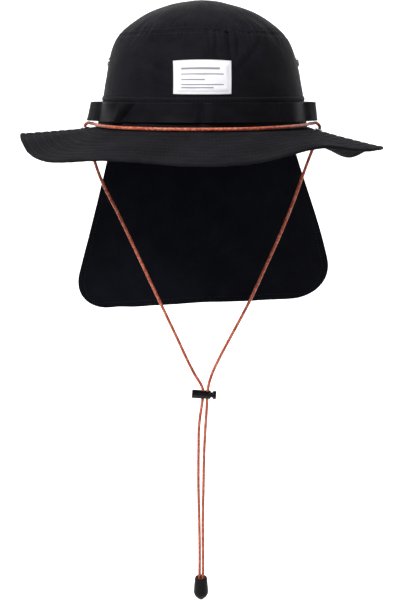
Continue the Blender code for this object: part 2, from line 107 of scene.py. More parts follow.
# Lifts and dips of the brim's edge, as shares of its drop
BrimFold = namedtuple("BrimFold", "azimuth half_width lift")
BRIM_BASE = 0.95
BRIM_CURL = 0.9
BRIM_FOLDS = [
    BrimFold(-26, 14, 0.10),
    BrimFold(2, 12, -0.06),
    BrimFold(34, 14, 0.42),
    BrimFold(62, 28, 0.24),
    BrimFold(117, 11, -0.55),
    BrimFold(165, 16, 0.14),
    BrimFold(-90.5, 25.5, 0.59),
    BrimFold(-82, 4.5, 0.17),
    BrimFold(-73.5, 5.6, 0.14),
    BrimFold(-53, 15, -0.17),
]

# Azimuth, and how far the ribbon stands off the crown there as a share of the loops' reach
BAND_ROWS = [
    (-180, 0.0), (-160, 0.18), (-138, 0.0), (-124, 0.16), (-110, 0.0), (-103, 0.55), (-97, 0.95),
    (-90, 1.0), (-83, 0.95), (-77, 0.55), (-70, 0.02), (-60, 0.20), (-50, 0.40), (-46, 0.44),
    (-41, 0.0), (-35, 0.10), (-31, 0.0), (-20, 0.10), (-6, 0.14), (-1, 0.0), (6, 0.16), (24, 0.14),
    (43, 0.0), (56, 0.16), (70, 0.02), (77, 0.55), (83, 0.95), (90, 1.0), (97, 0.95), (103, 0.55),
    (110, 0.0), (124, 0.16), (138, 0.0), (160, 0.18), (180, 0.0),
]
# Where the ribbon is tacked to the crown, and the tack whose fold leans, all in degrees
BAND_TACKS = [-138, -110, -70, -40, 0, 43, 70, 110, 138, 180]
LEANING_TACK = -40
TACK_LEAN = 4.6

# Creases drawn down from the crown's seam: degrees and millimetres of height at their top and
# at their bottom, then millimetres of depth and width
Crease = namedtuple("Crease", "top_azimuth top bottom_azimuth bottom depth width")
CREASES = [
    Crease(3.2, 80, 5.6, 60, 0.70, 1.4),
    Crease(8.2, 81, 8.0, 54, 1.10, 1.7),
    Crease(12.4, 81, 13.2, 68, 0.50, 1.2),
    Crease(15.2, 81, 17.0, 50, 1.25, 2.0),
    Crease(22.5, 81, 19.4, 60, 0.90, 1.5),
    Crease(26.0, 80, 29.0, 70, 0.65, 1.5),
    Crease(33.0, 81, 30.5, 71, 0.80, 1.3),
    Crease(38.5, 80, 41.5, 73, 0.70, 1.2),
    Crease(44.5, 79, 41.0, 74, 0.75, 1.2),
    Crease(-9.0, 81, -7.5, 72, 0.50, 1.5),
    Crease(-19.0, 80, -18.0, 66, 0.65, 1.8),
    Crease(-33.0, 80, -31.0, 70, 0.55, 1.6),
    Crease(36.0, 72, 18.0, 46, 1.00, 4.0),
    Crease(-40.0, 60, -12.0, 40, 0.35, 6.0),
]

# Plain lines woven across the patch: millimetres up from its lower edge, length and thickness
PATCH_LINES = [
    (20.2, 31.0, 1.3),
    (15.9, 34.0, 0.7),
    (11.6, 19.0, 0.7),
    (7.6, 34.0, 0.7),
    (5.2, 26.0, 0.7),
]

# The cord's route in millimetres, as the part's source has it, from its left end in the cap
# to its right one
CORD_ROUTE = [
    (-2.4, 0, -456.2), (-2.4, 0, -446), (-2.2, 0, -425), (-2.6, 0, -388), (-3.4, 0, -350),
    (-3.3, 0, -310), (-2.6, 0, -284), (-0.6, 0, -268), (0.6, 0, -259.5), (0.9, 0, -254.4),
    (1.1, 0, -250.2), (-0.2, 0, -246), (-6.2, 0, -235.5), (-26.3, 0, -192.4), (-52, 0, -136),
    (-77, 0, -81), (-93.5, 0, -46), (-100.6, 0, -24), (-104.6, 0, -10.5), (-106.1, 0, -3.0),
    (-106.3, -1.0, 0.8), (-103.6, -4.6, 3.4), (-99.6, -10.5, 3.3), (-95.9, -18.6, 3.0),
    (-92.1, -31.4, 2.6), (-82.5, -53.0, 2.2), (-62.5, -76.8, 1.8), (-33.3, -94.2, 1.7),
    (0, -100.2, 1.7), (33.3, -94.2, 1.8), (62.5, -76.8, 2.3), (82.5, -53.0, 2.8),
    (92.3, -31.2, 3.1), (95.9, -18.6, 3.3), (99.6, -10.5, 3.4), (103.8, -4.6, 3.3),
    (106.9, -1.0, -0.2), (106.4, 0, -4.6), (104.6, 0, -11), (98.9, 0, -26), (82.4, 0, -74),
    (69.4, 0, -107), (60.2, 0, -128), (45.6, 0, -161), (27.6, 0, -196.5), (17.4, 0, -216.5),
    (9.4, 0, -234.5), (6.5, 0, -244.5), (5.6, 0, -250.2), (5.3, 0, -254.4), (5.0, 0, -259.5),
    (4.6, 0, -268), (3.6, 0, -284), (2.3, 0, -310), (1.5, 0, -350), (0.9, 0, -388), (1.2, 0, -425),
    (1.1, 0, -446), (1.1, 0, -456.2),
]

# Dents that run up the tip from its seam: azimuth, depth and reach in millimetres, width in degrees
TIP_DENTS = [
    (7, 0.55, 30, 4.0),
    (23, 0.70, 36, 4.5),
    (-24, 0.35, 24, 5.0),
]

# The curtain: the degrees of the crown's foot that it takes to each side of the back, its right
# and left corners as shares of the named size, and its right side's bulge and its ripple in
# millimetres
FLAP_HALF_ANGLE = 61.5
FLAP_CORNERS = (1.26, 1.12)
FLAP_BULGE = 8.0
FLAP_RIPPLE = 1.5

# Where the lock and the end cap sit on the cord, in millimetres, and the lock's turn in degrees
LOCK_PLACE = (3.1, 0, -254.4)
LOCK_TURN = 3.5
CAP_PLACE = (-0.9, 0, -469.6)

# How far thread lies over the cloth, the step over which the side wall's slope is read, and
# the steps along the cord of its braid and of the path that the lock operator works out
THREAD_LIFT = 0.12 * MM
SIDE_STEP = 0.3 * MM
BRAID_STEP = 0.42 * MM
PATH_STEP = 4 * MM

# The camera's place in millimetres, its degrees below the level and its lens
CAMERA_PLACE = (-1.4, -924, 37)
CAMERA_TILT = 12.1416
CAMERA_LENS = 60.0

# The brim's mean radius in millimetres, along which its cloth's threads run
BRIM_MEAN_RADIUS = 128

# The studio's lights: name, place and size in metres, and watts
LIGHTS = [
    ("key_softbox", (-1.1, -1.2, 1.2), 0.5, 46.0),
    ("fill_softbox", (1.3, -1.5, 0.5), 0.8, 6.0),
    ("right_strip", (1.3, 0.6, 0.6), 0.4, 0.8),
    ("top_softbox", (0.2, -0.15, 1.5), 0.4, 10.0),
]
WORLD_STRENGTH = 0.22

# The studio's floor: its height, where its curve starts and that curve's radius, in metres
FLOOR_HEIGHT = -0.75
FLOOR_BEND = 1.5


# Sizes and colours that a user would change


def linear(code):
    """An sRGB hex value as linear red, green and blue."""
    parts = [int(code[k : k + 2], 16) / 255 for k in (0, 2, 4)]
    return tuple(c / 12.92 if c <= 0.04045 else ((c + 0.055) / 1.055) ** 2.4 for c in parts)


def length(name, description, millimetres):
    """A length that a user can change, given in millimetres."""
    return FloatProperty(
        name=name,
        description=description,
        default=millimetres * MM,
        min=0.0,
        precision=5,
        subtype="DISTANCE",
        unit="LENGTH",
    )


def colour(name, description, code):
    """A colour that a user can change, given as an sRGB hex value."""
    return FloatVectorProperty(
        name=name, description=description, default=linear(code), size=3, min=0.0, max=1.0, subtype="COLOR"
    )


class SunHatCrown(PropertyGroup):
    """Sizes of the crown and of its cloth"""

    width: length("Width", "Across the crown's foot", 190)
    depth: length("Depth", "Front to back over the crown's foot", 196)
    side_height: length("Side height", "From the brim's seam to the tip's seam", 80)
    seam_tilt: length("Seam tilt", "How much higher the tip's seam is at the front", 1.5)
    tip_rise: length("Tip rise", "How far the dome stands over its seam", 29.6)
    wall: length("Wall", "Thickness of the crown's cloth", 1.5)
    gap: length("Gap", "Between pieces that touch", 0.3)
    welt_rise: length("Welt height", "Height of the stitched welt over the band", 25.4)
    welt_width: length("Welt width", "Between the welt's two rows of stitches", 3.6)
    welt_proud: length("Welt relief", "How far the welt stands out", 0.7)
    pucker_depth: length("Pucker depth", "How deep the tip's seam draws the cloth in", 1.25)
    pucker_spacing: length("Pucker spacing", "Along the tip's seam", 6.5)
    slack: length("Slack", "Height of the broad soft hollows in the cloth", 0.8)
    lean: length("Lean", "How far the side wall sags to the right at half its height", 1.4)


class SunHatBrim(PropertyGroup):
    """Sizes of the brim and of its grommets"""

    width: length("Width", "Across the brim's edge", 326)
    depth: length("Depth", "Front to back over the brim's edge", 333)
    drop: length("Drop", "How far the edge hangs below the crown's foot", 21)
    wall: length("Wall", "Thickness of the two layers and their stiffener", 2.4)
    collar: length("Collar", "Flat ring outside the crown's foot", 1.2)
    first_row: length("First row", "From the crown to the first row of stitches", 6.0)
    row_pitch: length("Row pitch", "Between the rows of stitches", 6.3)
    hem: length("Hem", "From the edge to the hem's row of stitches", 4.6)
    groove: length("Groove", "How deep a row of stitches sinks in", 0.5)
    crinkle: length("Crinkle", "Height of the small wrinkles between the rows", 0.3)
    grommet_reach: length("Grommet reach", "From the crown to the cord's grommet", 11.2)
    grommet_bore: length("Grommet bore", "Hole for the cord", 4.4)
    grommet_width: length("Grommet width", "Over the rolled ring", 8.4)
    grommet_proud: length("Grommet relief", "How far the ring stands out", 0.8)


class SunHatBand(PropertyGroup):
    """Sizes of the ribbon round the crown"""

    rise: length("Rise", "From the brim's seam to the ribbon's lower edge", 6.8)
    side_sag: length("Side sag", "How much lower the ribbon is at the sides", 0.9)
    width: length("Width", "Width of the ribbon", 15.8)
    wall: length("Wall", "Thickness of the ribbon", 1.0)
    loop_reach: length("Loop reach", "How far each side loop stands off the crown", 9.0)
    rib: length("Rib", "Spacing of the ribbon's cross ribs", 0.9)
    pleat: length("Pleat", "Depth of the small pleat at the front tack", 1.1)


class SunHatFlap(PropertyGroup):
    """Sizes of the neck curtain"""

    length: length("Length", "From the crown's foot to the lower edge", 175.5)
    bottom_width: length("Bottom width", "Across the lower edge", 263)
    bow: length("Bow", "How far the sides come forward of the middle", 46)
    swing: length("Swing", "How far the lower edge hangs behind the crown", 5)
    tilt: length("Tilt", "How much lower the left corner hangs", 6.5)
    belly: length("Belly", "How much longer the middle hangs", 8)
    corner: length("Corner", "Size of the rounded corners", 34)
    wall: length("Wall", "Thickness of the cloth", 1.2)
    hem: length("Hem", "From the edge to the hem's stitches", 6.5)
    drape: length("Drape", "Height of the soft hanging folds", 1.5)


class SunHatLabel(PropertyGroup):
    """Sizes of the front patch"""

    width: length("Width", "Width of the woven patch", 47)
    height: length("Height", "Height of the woven patch", 26.8)
    rise: length("Rise", "From the crown's foot to the patch", 29.3)
    shift: length("Shift", "How far left of the middle the patch is", 1.2)
    wall: length("Wall", "Thickness of the patch", 0.7)
    bulge: length("Bulge", "How far its middle stands off the crown", 0.9)


class SunHatFittings(PropertyGroup):
    """Sizes of the eyelets, the cord, its lock and its end cap"""

    eyelet_rise: length("Eyelet height", "Height of the vent eyelets", 57)
    eyelet_bore: length("Eyelet bore", "Hole of a vent eyelet", 4.0)
    eyelet_width: length("Eyelet width", "Over the rolled ring", 8.4)
    eyelet_proud: length("Eyelet relief", "How far the ring stands out", 1.4)
    cord_diameter: length("Cord diameter", "Thickness of the braided cord", 2.8)
    braid_relief: length("Braid relief", "Height of the braid's strands", 0.13)
    braid_lay: length("Braid lay", "One turn of a strand along the cord", 9.0)
    braid_strands: IntProperty(
        name="Braid strands", description="Strands in each direction", default=6, min=2
    )
    strand_spacing: length("Strand spacing", "Between the two strands in the lock", 4.4)
    strand_clearance: length("Strand clearance", "Round a strand in the lock's slot", 0.5)
    lock_length: length("Lock length", "Length of the lock's barrel", 18.1)
    lock_diameter: length("Lock diameter", "Over the barrel", 8.4)
    lock_bore: length("Lock bore", "Bore for the plunger", 5.9)
    lock_lip: length("Lock lip", "From the slot to the barrel's mouth", 1.2)
    lock_floor: length("Lock floor", "Thickness of the barrel's closed end", 1.6)
    lock_travel: length("Lock travel", "How far the plunger presses in", 1.6)
    plunger_length: length("Plunger length", "Of the rod inside the barrel", 11.0)
    button_stand_off: length("Button stand-off", "From the barrel's mouth to the button", 2.0)
    button_diameter: length("Button diameter", "Over the button", 8.2)
    button_thickness: length("Button thickness", "Of the button", 3.3)
    cap_length: length("Cap length", "Length of the end cap", 24.2)
    cap_diameter: length("Cap diameter", "At its widest", 15)
    cap_mouth: length("Cap mouth", "Over its mouth", 12.5)
    cap_bore: length("Cap bore", "Bore for the cord's ends", 7.8)
    cap_bore_depth: length("Cap bore depth", "Depth of that bore", 11.5)


class SunHatThread(PropertyGroup):
    """Sizes of the stitches"""

    pitch: length("Pitch", "From one stitch to the next", 3.1)
    stitch: length("Stitch", "Length of a stitch", 2.3)
    thickness: length("Thickness", "Thickness of the thread", 0.42)
    seed: IntProperty(name="Seed", description="Fixes the small differences between stitches", default=7)


class SunHatColours(PropertyGroup):
    """Colours of all materials"""

    crown: colour("Crown", "Cloth of the crown", "18181C")
    brim: colour("Brim", "Cloth of the brim", "1E1E21")
    band: colour("Band", "Ribbon round the crown", "131317")
    flap: colour("Curtain", "Cloth of the neck curtain", "101117")
    label: colour("Patch", "Woven patch", "EEEEF2")
    label_line: colour("Patch line", "Woven border of the patch", "8A8A94")
    cord: colour("Cord", "Most of the cord's strands", "A83E20")
    cord_light: colour("Cord light", "Lighter flecks of the cord", "CC7C5C")
    cord_dark: colour("Cord dark", "Darker flecks of the cord", "6C1F10")
    nickel: colour("Nickel", "Grommets and eyelets", "B4B4B6")
    nylon: colour("Nylon", "Lock and end cap", "0C0C0E")
    thread: colour("Thread", "Thread of the seams", "1D1D20")
    floor: colour("Floor", "Plain pale floor", "F4F4F4")


class SunHatSettings(PropertyGroup):
    """All of the hat's sizes and colours"""

    crown: PointerProperty(type=SunHatCrown, name="Crown")
    brim: PointerProperty(type=SunHatBrim, name="Brim")
    band: PointerProperty(type=SunHatBand, name="Band")
    flap: PointerProperty(type=SunHatFlap, name="Curtain")
    label: PointerProperty(type=SunHatLabel, name="Patch")
    fittings: PointerProperty(type=SunHatFittings, name="Fittings")
    thread: PointerProperty(type=SunHatThread, name="Thread")
    colours: PointerProperty(type=SunHatColours, name="Colours")


# Curves, noise and skins


def smooth_through(rows, x):
    """The value at x of a smooth curve through two-column rows, which keeps to their range."""
    xs = np.array([row[0] for row in rows], float)
    ys = np.array([row[1] for row in rows], float)
    widths = np.diff(xs)
    rises = np.diff(ys) / widths
    slopes = np.empty_like(ys)
    slopes[0] = rises[0]
    slopes[-1] = rises[-1]
    product = rises[:-1] * rises[1:]
    total = rises[:-1] + rises[1:]
    slopes[1:-1] = np.where(product > 0, 2 * product / np.where(product > 0, total, 1.0), 0.0)
    x = np.asarray(x, float)
    i = np.clip(np.searchsorted(xs, x, side="right") - 1, 0, len(xs) - 2)
    t = (x - xs[i]) / widths[i]
    start = (2 * t**3 - 3 * t**2 + 1) * ys[i] + (t**3 - 2 * t**2 + t) * widths[i] * slopes[i]
    end = (3 * t**2 - 2 * t**3) * ys[i + 1] + (t**3 - t**2) * widths[i] * slopes[i + 1]
    return start + end


def soft_noise(x, y, seed, around=256):
    """Smooth noise from -1 to 1 with one cell a unit. It closes on itself after around cells of x."""
    table = np.random.default_rng(seed).uniform(-1, 1, (512, 256))
    x, y = np.broadcast_arrays(np.asarray(x, float), np.asarray(y, float))
    column = np.floor(x).astype(int)
    row = np.floor(y).astype(int)
    fx = x - column
    fy = y - row
    sx = fx * fx * fx * (fx * (fx * 6 - 15) + 10)
    sy = fy * fy * fy * (fy * (fy * 6 - 15) + 10)
    left = column % around
    right = (column + 1) % around
    low = row % 256
    high = (row + 1) % 256
    below = table[left, low] * (1 - sx) + table[right, low] * sx
    above = table[left, high] * (1 - sx) + table[right, high] * sx
    return below * (1 - sy) + above * sy


def ridges(noise, sharpness):
    """Turns soft noise into narrow creases: 1 along each crease and near 0 between them."""
    return np.clip(1 - np.abs(noise), 0, 1) ** sharpness


def bell(x, centre, half_width):
    """A smooth bump of height 1 round a centre."""
    return np.exp(-(((x - centre) / half_width) ** 2))


def degrees_apart(azimuth, centre):
    """Signed degrees from a centre in degrees to an azimuth in radians, from -180 to 180."""
    return (np.degrees(azimuth) - centre + 180) % 360 - 180


def to_unit(vectors):
    """The vectors drawn out or in to a length of 1."""
    return vectors / np.maximum(np.linalg.norm(vectors, axis=-1, keepdims=True), 1e-12)


def face(base, relief, u, v, lift=0.0, du=0.004, dv=0.004):
    """Points of a cloth face: its plain surface, moved along its normal by its relief and by lift."""
    along = base(u + du, v) - base(u - du, v)
    up = base(u, v + dv) - base(u, v - dv)
    normal = to_unit(np.cross(along, up))
    height = np.broadcast_to(relief(u, v) + lift, normal.shape[:-1])
    return base(u, v) + normal * height[..., None]


def oval(azimuth, half_width, half_depth, height):
    """Points of a plan oval at a height."""
    x, y, z = np.broadcast_arrays(half_width * np.sin(azimuth), -half_depth * np.cos(azimuth), height)
    return np.stack([x, y, z], axis=-1)


def skin(name, points, uvs, close_columns=False, close_rows=False, poles=()):
    """A mesh of quads through rows of points, with a UV map in millimetres. uvs has one more
    column, or row, than points where those close. poles are (row, point, uv) of a closing fan."""
    rows, columns = points.shape[:2]
    across = columns if close_columns else columns - 1
    down = rows if close_rows else rows - 1
    r, c = np.meshgrid(np.arange(down), np.arange(across), indexing="ij")
    r2 = (r + 1) % rows
    c2 = (c + 1) % columns
    quads = np.stack([r * columns + c, r * columns + c2, r2 * columns + c2, r2 * columns + c], axis=-1)
    corners = np.stack([uvs[r, c], uvs[r, c + 1], uvs[r + 1, c + 1], uvs[r + 1, c]], axis=2)
    verts = points.reshape(-1, 3).tolist()
    faces = quads.reshape(-1, 4).tolist()
    uv_list = [corners.reshape(-1, 2)]
    for row, point, turn in poles:
        verts.append(list(point))
        ring = np.arange(columns) + row * columns
        after = np.roll(ring, -1)
        middle = (uvs[row, :-1] + uvs[row, 1:]) / 2
        middle[:, 1] += turn
        for k in range(columns):
            pair = (ring[k], after[k]) if turn > 0 else (after[k], ring[k])
            faces.append([int(pair[0]), int(pair[1]), len(verts) - 1])
        ends = (uvs[row, :-1], uvs[row, 1:]) if turn > 0 else (uvs[row, 1:], uvs[row, :-1])
        uv_list.append(np.stack([ends[0], ends[1], middle], axis=1).reshape(-1, 2))
    mesh = bpy.data.meshes.new(name)
    mesh.from_pydata(verts, [], faces)
    layer = mesh.uv_layers.new(name="cloth")
    layer.data.foreach_set("uv", np.concatenate(uv_list).astype(np.float32).ravel())
    mesh.shade_smooth()
    mesh.update()
    return mesh


def linked(name, data):
    """A new object of the scene."""
    made = bpy.data.objects.new(name, data)
    bpy.context.scene.collection.objects.link(made)
    return made


def add_piece(name, mesh, finish, slot, *nodes, body="hat"):
    """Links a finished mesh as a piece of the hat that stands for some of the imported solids."""
    piece = linked(name, mesh)
    if finish is not None:
        mesh.materials.clear()
        mesh.materials.append(finish)
    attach(piece, body)
    if nodes:
        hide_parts(*nodes)
    return piece


def settle(holder):
    """The holder's mesh with its modifiers worked in, after which the holder and its mesh go."""
    bpy.context.view_layer.update()
    graph = bpy.context.evaluated_depsgraph_get()
    mesh = bpy.data.meshes.new_from_object(holder.evaluated_get(graph), depsgraph=graph)
    bpy.data.objects.remove(holder, do_unlink=True)
    return mesh


def cut_out(mesh, tool_meshes):
    """The mesh with the room of each tool mesh cut out of it."""
    holder = linked("cut", mesh)
    tools = []
    for tool_mesh in tool_meshes:
        tool = linked("tool", tool_mesh)
        tools.append(tool)
        boolean = holder.modifiers.new("cut", "BOOLEAN")
        boolean.operation = "DIFFERENCE"
        boolean.solver = "EXACT"
        boolean.object = tool
    result = settle(holder)
    for tool in tools:
        bpy.data.objects.remove(tool, do_unlink=True)
    return result


def pierced(mesh, holes):
    """The mesh with round holes through it. Each hole is (place, direction, diameter)."""
    tool_meshes = []
    for place, along, diameter in holes:
        bm = bmesh.new()
        bmesh.ops.create_cone(
            bm, cap_ends=True, segments=24, radius1=diameter / 2, radius2=diameter / 2, depth=12 * MM
        )
        turn = Vector(along).to_track_quat("Z", "Y").to_matrix().to_4x4()
        bm.transform(Matrix.Translation(place) @ turn)
        tool_meshes.append(bpy.data.meshes.new("hole"))
        bm.to_mesh(tool_meshes[-1])
        bm.free()
    return cut_out(mesh, tool_meshes)


def rounded(profile, radius, steps=5):
    """A profile of (radius, height) points with its inner corners turned into small arcs."""
    points = [Vector(p) for p in profile]
    result = [points[0]]
    for before, corner, after in zip(points, points[1:], points[2:]):
        reach = min(radius, (before - corner).length * 0.45, (after - corner).length * 0.45)
        start = corner + (before - corner).normalized() * reach
        end = corner + (after - corner).normalized() * reach
        for k in range(steps + 1):
            t = k / steps
            result.append(start * (1 - t) ** 2 + corner * 2 * t * (1 - t) + end * t**2)
    result.append(points[-1])
    return [(p.x, p.y) for p in result]


def turned(name, profile, place, closed=False, steps=48):
    """A profile of (radius, height) points spun about +Z, then moved to its place."""
    bm = bmesh.new()
    verts = [bm.verts.new((radius, 0, height)) for radius, height in profile]
    edges = [bm.edges.new(pair) for pair in zip(verts, verts[1:])]
    if closed:
        edges.append(bm.edges.new((verts[-1], verts[0])))
    bmesh.ops.spin(
        bm, geom=verts + edges, cent=(0, 0, 0), axis=(0, 0, 1), angle=math.tau, steps=steps, use_merge=True
    )
    bmesh.ops.remove_doubles(bm, verts=bm.verts, dist=0.002 * MM)
    bmesh.ops.recalc_face_normals(bm, faces=bm.faces)
    bm.transform(place)
    mesh = bpy.data.meshes.new(name)
    bm.to_mesh(mesh)
    bm.free()
    mesh.shade_smooth()
    mesh.set_sharp_from_angle(angle=math.radians(40))
    return mesh


# Materials


def add(tree, kind, feeds=None, **settings):
    """Adds a node with its settings, and sets each of its sockets to a value or links it."""
    node = tree.nodes.new(kind)
    for name, value in settings.items():
        setattr(node, name, value)
    for key, value in (feeds or {}).items():
        socket = node.inputs[key]
        if isinstance(value, bpy.types.NodeSocket):
            tree.links.new(value, socket)
        else:
            socket.default_value = value
    return node


def new_material(name, base_colour, roughness, specular):
    """A material with one Principled shader. Returns it with its tree and its shader."""
    made = bpy.data.materials.new(name)
    made.use_nodes = True
    tree = made.node_tree
    shader = tree.nodes["Principled BSDF"]
    shader.inputs["Base Color"].default_value = (*base_colour, 1.0)
    shader.inputs["Roughness"].default_value = roughness
    shader.inputs["Specular IOR Level"].default_value = specular
    return made, tree, shader


def cloth_place(tree):
    """The cloth's UV map in millimetres, as a vector and as its two parts."""
    uv = add(tree, "ShaderNodeUVMap", uv_map="cloth").outputs["UV"]
    parts = add(tree, "ShaderNodeSeparateXYZ", {"Vector": uv})
    return uv, parts.outputs["X"], parts.outputs["Y"]


def wave(tree, along, spacing):
    """A sine along one direction of the cloth, half a turn for each thread."""
    phase = add(tree, "ShaderNodeMath", {0: along, 1: math.pi / spacing}, operation="MULTIPLY")
    return add(tree, "ShaderNodeMath", {0: phase.outputs[0]}, operation="SINE").outputs[0]


def plain_weave(tree, warp_spacing, weft_spacing):
    """The height of a plain weave, from 0 between its threads to 1 on top of them."""
    uv, u, v = cloth_place(tree)
    warp = wave(tree, u, warp_spacing)
    weft = wave(tree, v, weft_spacing)
    crossing = add(tree, "ShaderNodeMath", {0: warp, 1: weft}, operation="MULTIPLY").outputs[0]
    warp_on_top = add(tree, "ShaderNodeMath", {0: crossing, 1: 0.0}, operation="GREATER_THAN").outputs[0]
    warp_round = add(tree, "ShaderNodeMath", {0: warp}, operation="ABSOLUTE").outputs[0]
    weft_round = add(tree, "ShaderNodeMath", {0: weft}, operation="ABSOLUTE").outputs[0]
    height = add(
        tree, "ShaderNodeMix", {0: warp_on_top, 2: weft_round, 3: warp_round}, data_type="FLOAT"
    ).outputs[0]
    return uv, height


def stretched_noise(tree, place, scale, detail, roughness=0.55):
    """Noise over a place in millimetres, drawn out by a different scale each way."""
    turned_place = add(tree, "ShaderNodeMapping", {"Vector": place, "Scale": scale}).outputs["Vector"]
    feeds = {"Vector": turned_place, "Scale": 1.0, "Detail": detail, "Roughness": roughness}
    return add(tree, "ShaderNodeTexNoise", feeds).outputs["Fac"]


def blend_colours(tree, amount, first, second):
    """A colour between two linear colours, by an amount from 0 to 1."""
    feeds = {0: amount, 6: (*first, 1.0), 7: (*second, 1.0)}
    return add(tree, "ShaderNodeMix", feeds, data_type="RGBA").outputs[2]


def spread(tree, value, low, high, to_low=0.0, to_high=1.0):
    """A value mapped from one range to another and kept inside it."""
    feeds = {"Value": value, "From Min": low, "From Max": high, "To Min": to_low, "To Max": to_high}
    return add(tree, "ShaderNodeMapRange", feeds, clamp=True).outputs["Result"]


def shade(base, share):
    """A colour made darker or lighter by a share."""
    return tuple(min(1.0, c * share) for c in base)


def woven_nylon(name, base, thread, relief, roughness, specular):
    """Plain-woven nylon, brushed and dyed: matt, with thread that breaks up the light, painted shade
    in the hollows between its threads, and paler worn patches a few centimetres wide."""
    made, tree, shader = new_material(name, base, roughness, specular)
    uv, height = plain_weave(tree, thread, thread * 1.12)
    slub = stretched_noise(tree, uv, (0.9, 0.10, 1.0), 2.0)
    slub_across = stretched_noise(tree, uv, (0.10, 0.9, 1.0), 2.0)
    both = add(tree, "ShaderNodeMath", {0: slub, 1: slub_across}, operation="ADD").outputs[0]
    fade = stretched_noise(tree, uv, (0.028, 0.036, 1.0), 3.0)
    amount = spread(tree, fade, 0.32, 0.70)
    ground = blend_colours(tree, amount, shade(base, 0.82), shade(base, 1.30))
    flecked = spread(tree, both, 0.75, 1.30, 0.86, 1.16)
    # Painted shade: the colour darkens where the weave dips, in the hollows between its threads
    between = spread(tree, height, 0.0, 0.6, 0.80, 1.0)
    tone = add(tree, "ShaderNodeMath", {0: flecked, 1: between}, operation="MULTIPLY").outputs[0]
    scaled = add(tree, "ShaderNodeVectorMath", {0: ground, 3: tone}, operation="SCALE").outputs[0]
    tree.links.new(scaled, shader.inputs["Base Color"])
    rough = spread(tree, fade, 0.3, 0.7, roughness - 0.06, min(1.0, roughness + 0.06))
    tree.links.new(rough, shader.inputs["Roughness"])
    surface = add(tree, "ShaderNodeMath", {0: both, 1: 0.5}, operation="MULTIPLY").outputs[0]
    total = add(tree, "ShaderNodeMath", {0: height, 1: surface}, operation="ADD").outputs[0]
    bump = add(tree, "ShaderNodeBump", {"Height": total, "Strength": 1.0, "Distance": relief * MM})
    tree.links.new(bump.outputs["Normal"], shader.inputs["Normal"])
    return made


def crown_nylon(colours):
    # Air-textured nylon, plain woven with 0.6 mm threads drawn here instead of about 0.25 mm, because
    # finer ones don't show: a soft matt black
    return woven_nylon("air_textured_nylon_crown", colours.crown, 0.6, 0.07, 0.42, 0.008)


def brim_nylon(colours):
    # The same nylon over a stiffener, quilted flat: a little paler, because the rows of
    # stitches stretch it and the light catches their ridges
    return woven_nylon("air_textured_nylon_brim", colours.brim, 0.6, 0.07, 0.48, 0.001)


def flap_knit(colours):
    # A dense soft microfibre, brushed: nearly no shine and nearly no relief
    return woven_nylon("brushed_microfibre_flap", colours.flap, 0.7, 0.05, 0.80, 0.03)


def ribbon_grosgrain(colours, band):
    """Woven polyester ribbon with cross ribs: smoother than the crown's cloth, so that it
    shows soft bands of light along its bends."""
    made, tree, shader = new_material("grosgrain_polyester_ribbon", colours.band, 0.40, 0.02)
    uv, u, v = cloth_place(tree)
    # The ribs are about as coarse as on a real ribbon of this width
    rib = wave(tree, u, band.rib / MM)
    rib_round = add(tree, "ShaderNodeMath", {0: rib}, operation="ABSOLUTE").outputs[0]
    yarn = stretched_noise(tree, uv, (1.6, 0.12, 1.0), 2.0)
    fade = stretched_noise(tree, uv, (0.05, 0.09, 1.0), 2.0)
    amount = spread(tree, fade, 0.35, 0.68)
    ground = blend_colours(tree, amount, shade(colours.band, 0.80), shade(colours.band, 1.25))
    # Painted shade: the ribbon's colour darkens in the grooves between its ribs
    tone = spread(tree, rib_round, 0.0, 0.7, 0.78, 1.0)
    scaled = add(tree, "ShaderNodeVectorMath", {0: ground, 3: tone}, operation="SCALE").outputs[0]
    tree.links.new(scaled, shader.inputs["Base Color"])
    total = add(tree, "ShaderNodeMath", {0: rib_round, 1: yarn}, operation="ADD").outputs[0]
    bump = add(tree, "ShaderNodeBump", {"Height": total, "Strength": 1.0, "Distance": 0.06 * MM})
    tree.links.new(bump.outputs["Normal"], shader.inputs["Normal"])
    shader.inputs["Sheen Weight"].default_value = 0.02
    shader.inputs["Sheen Roughness"].default_value = 0.4
    return made


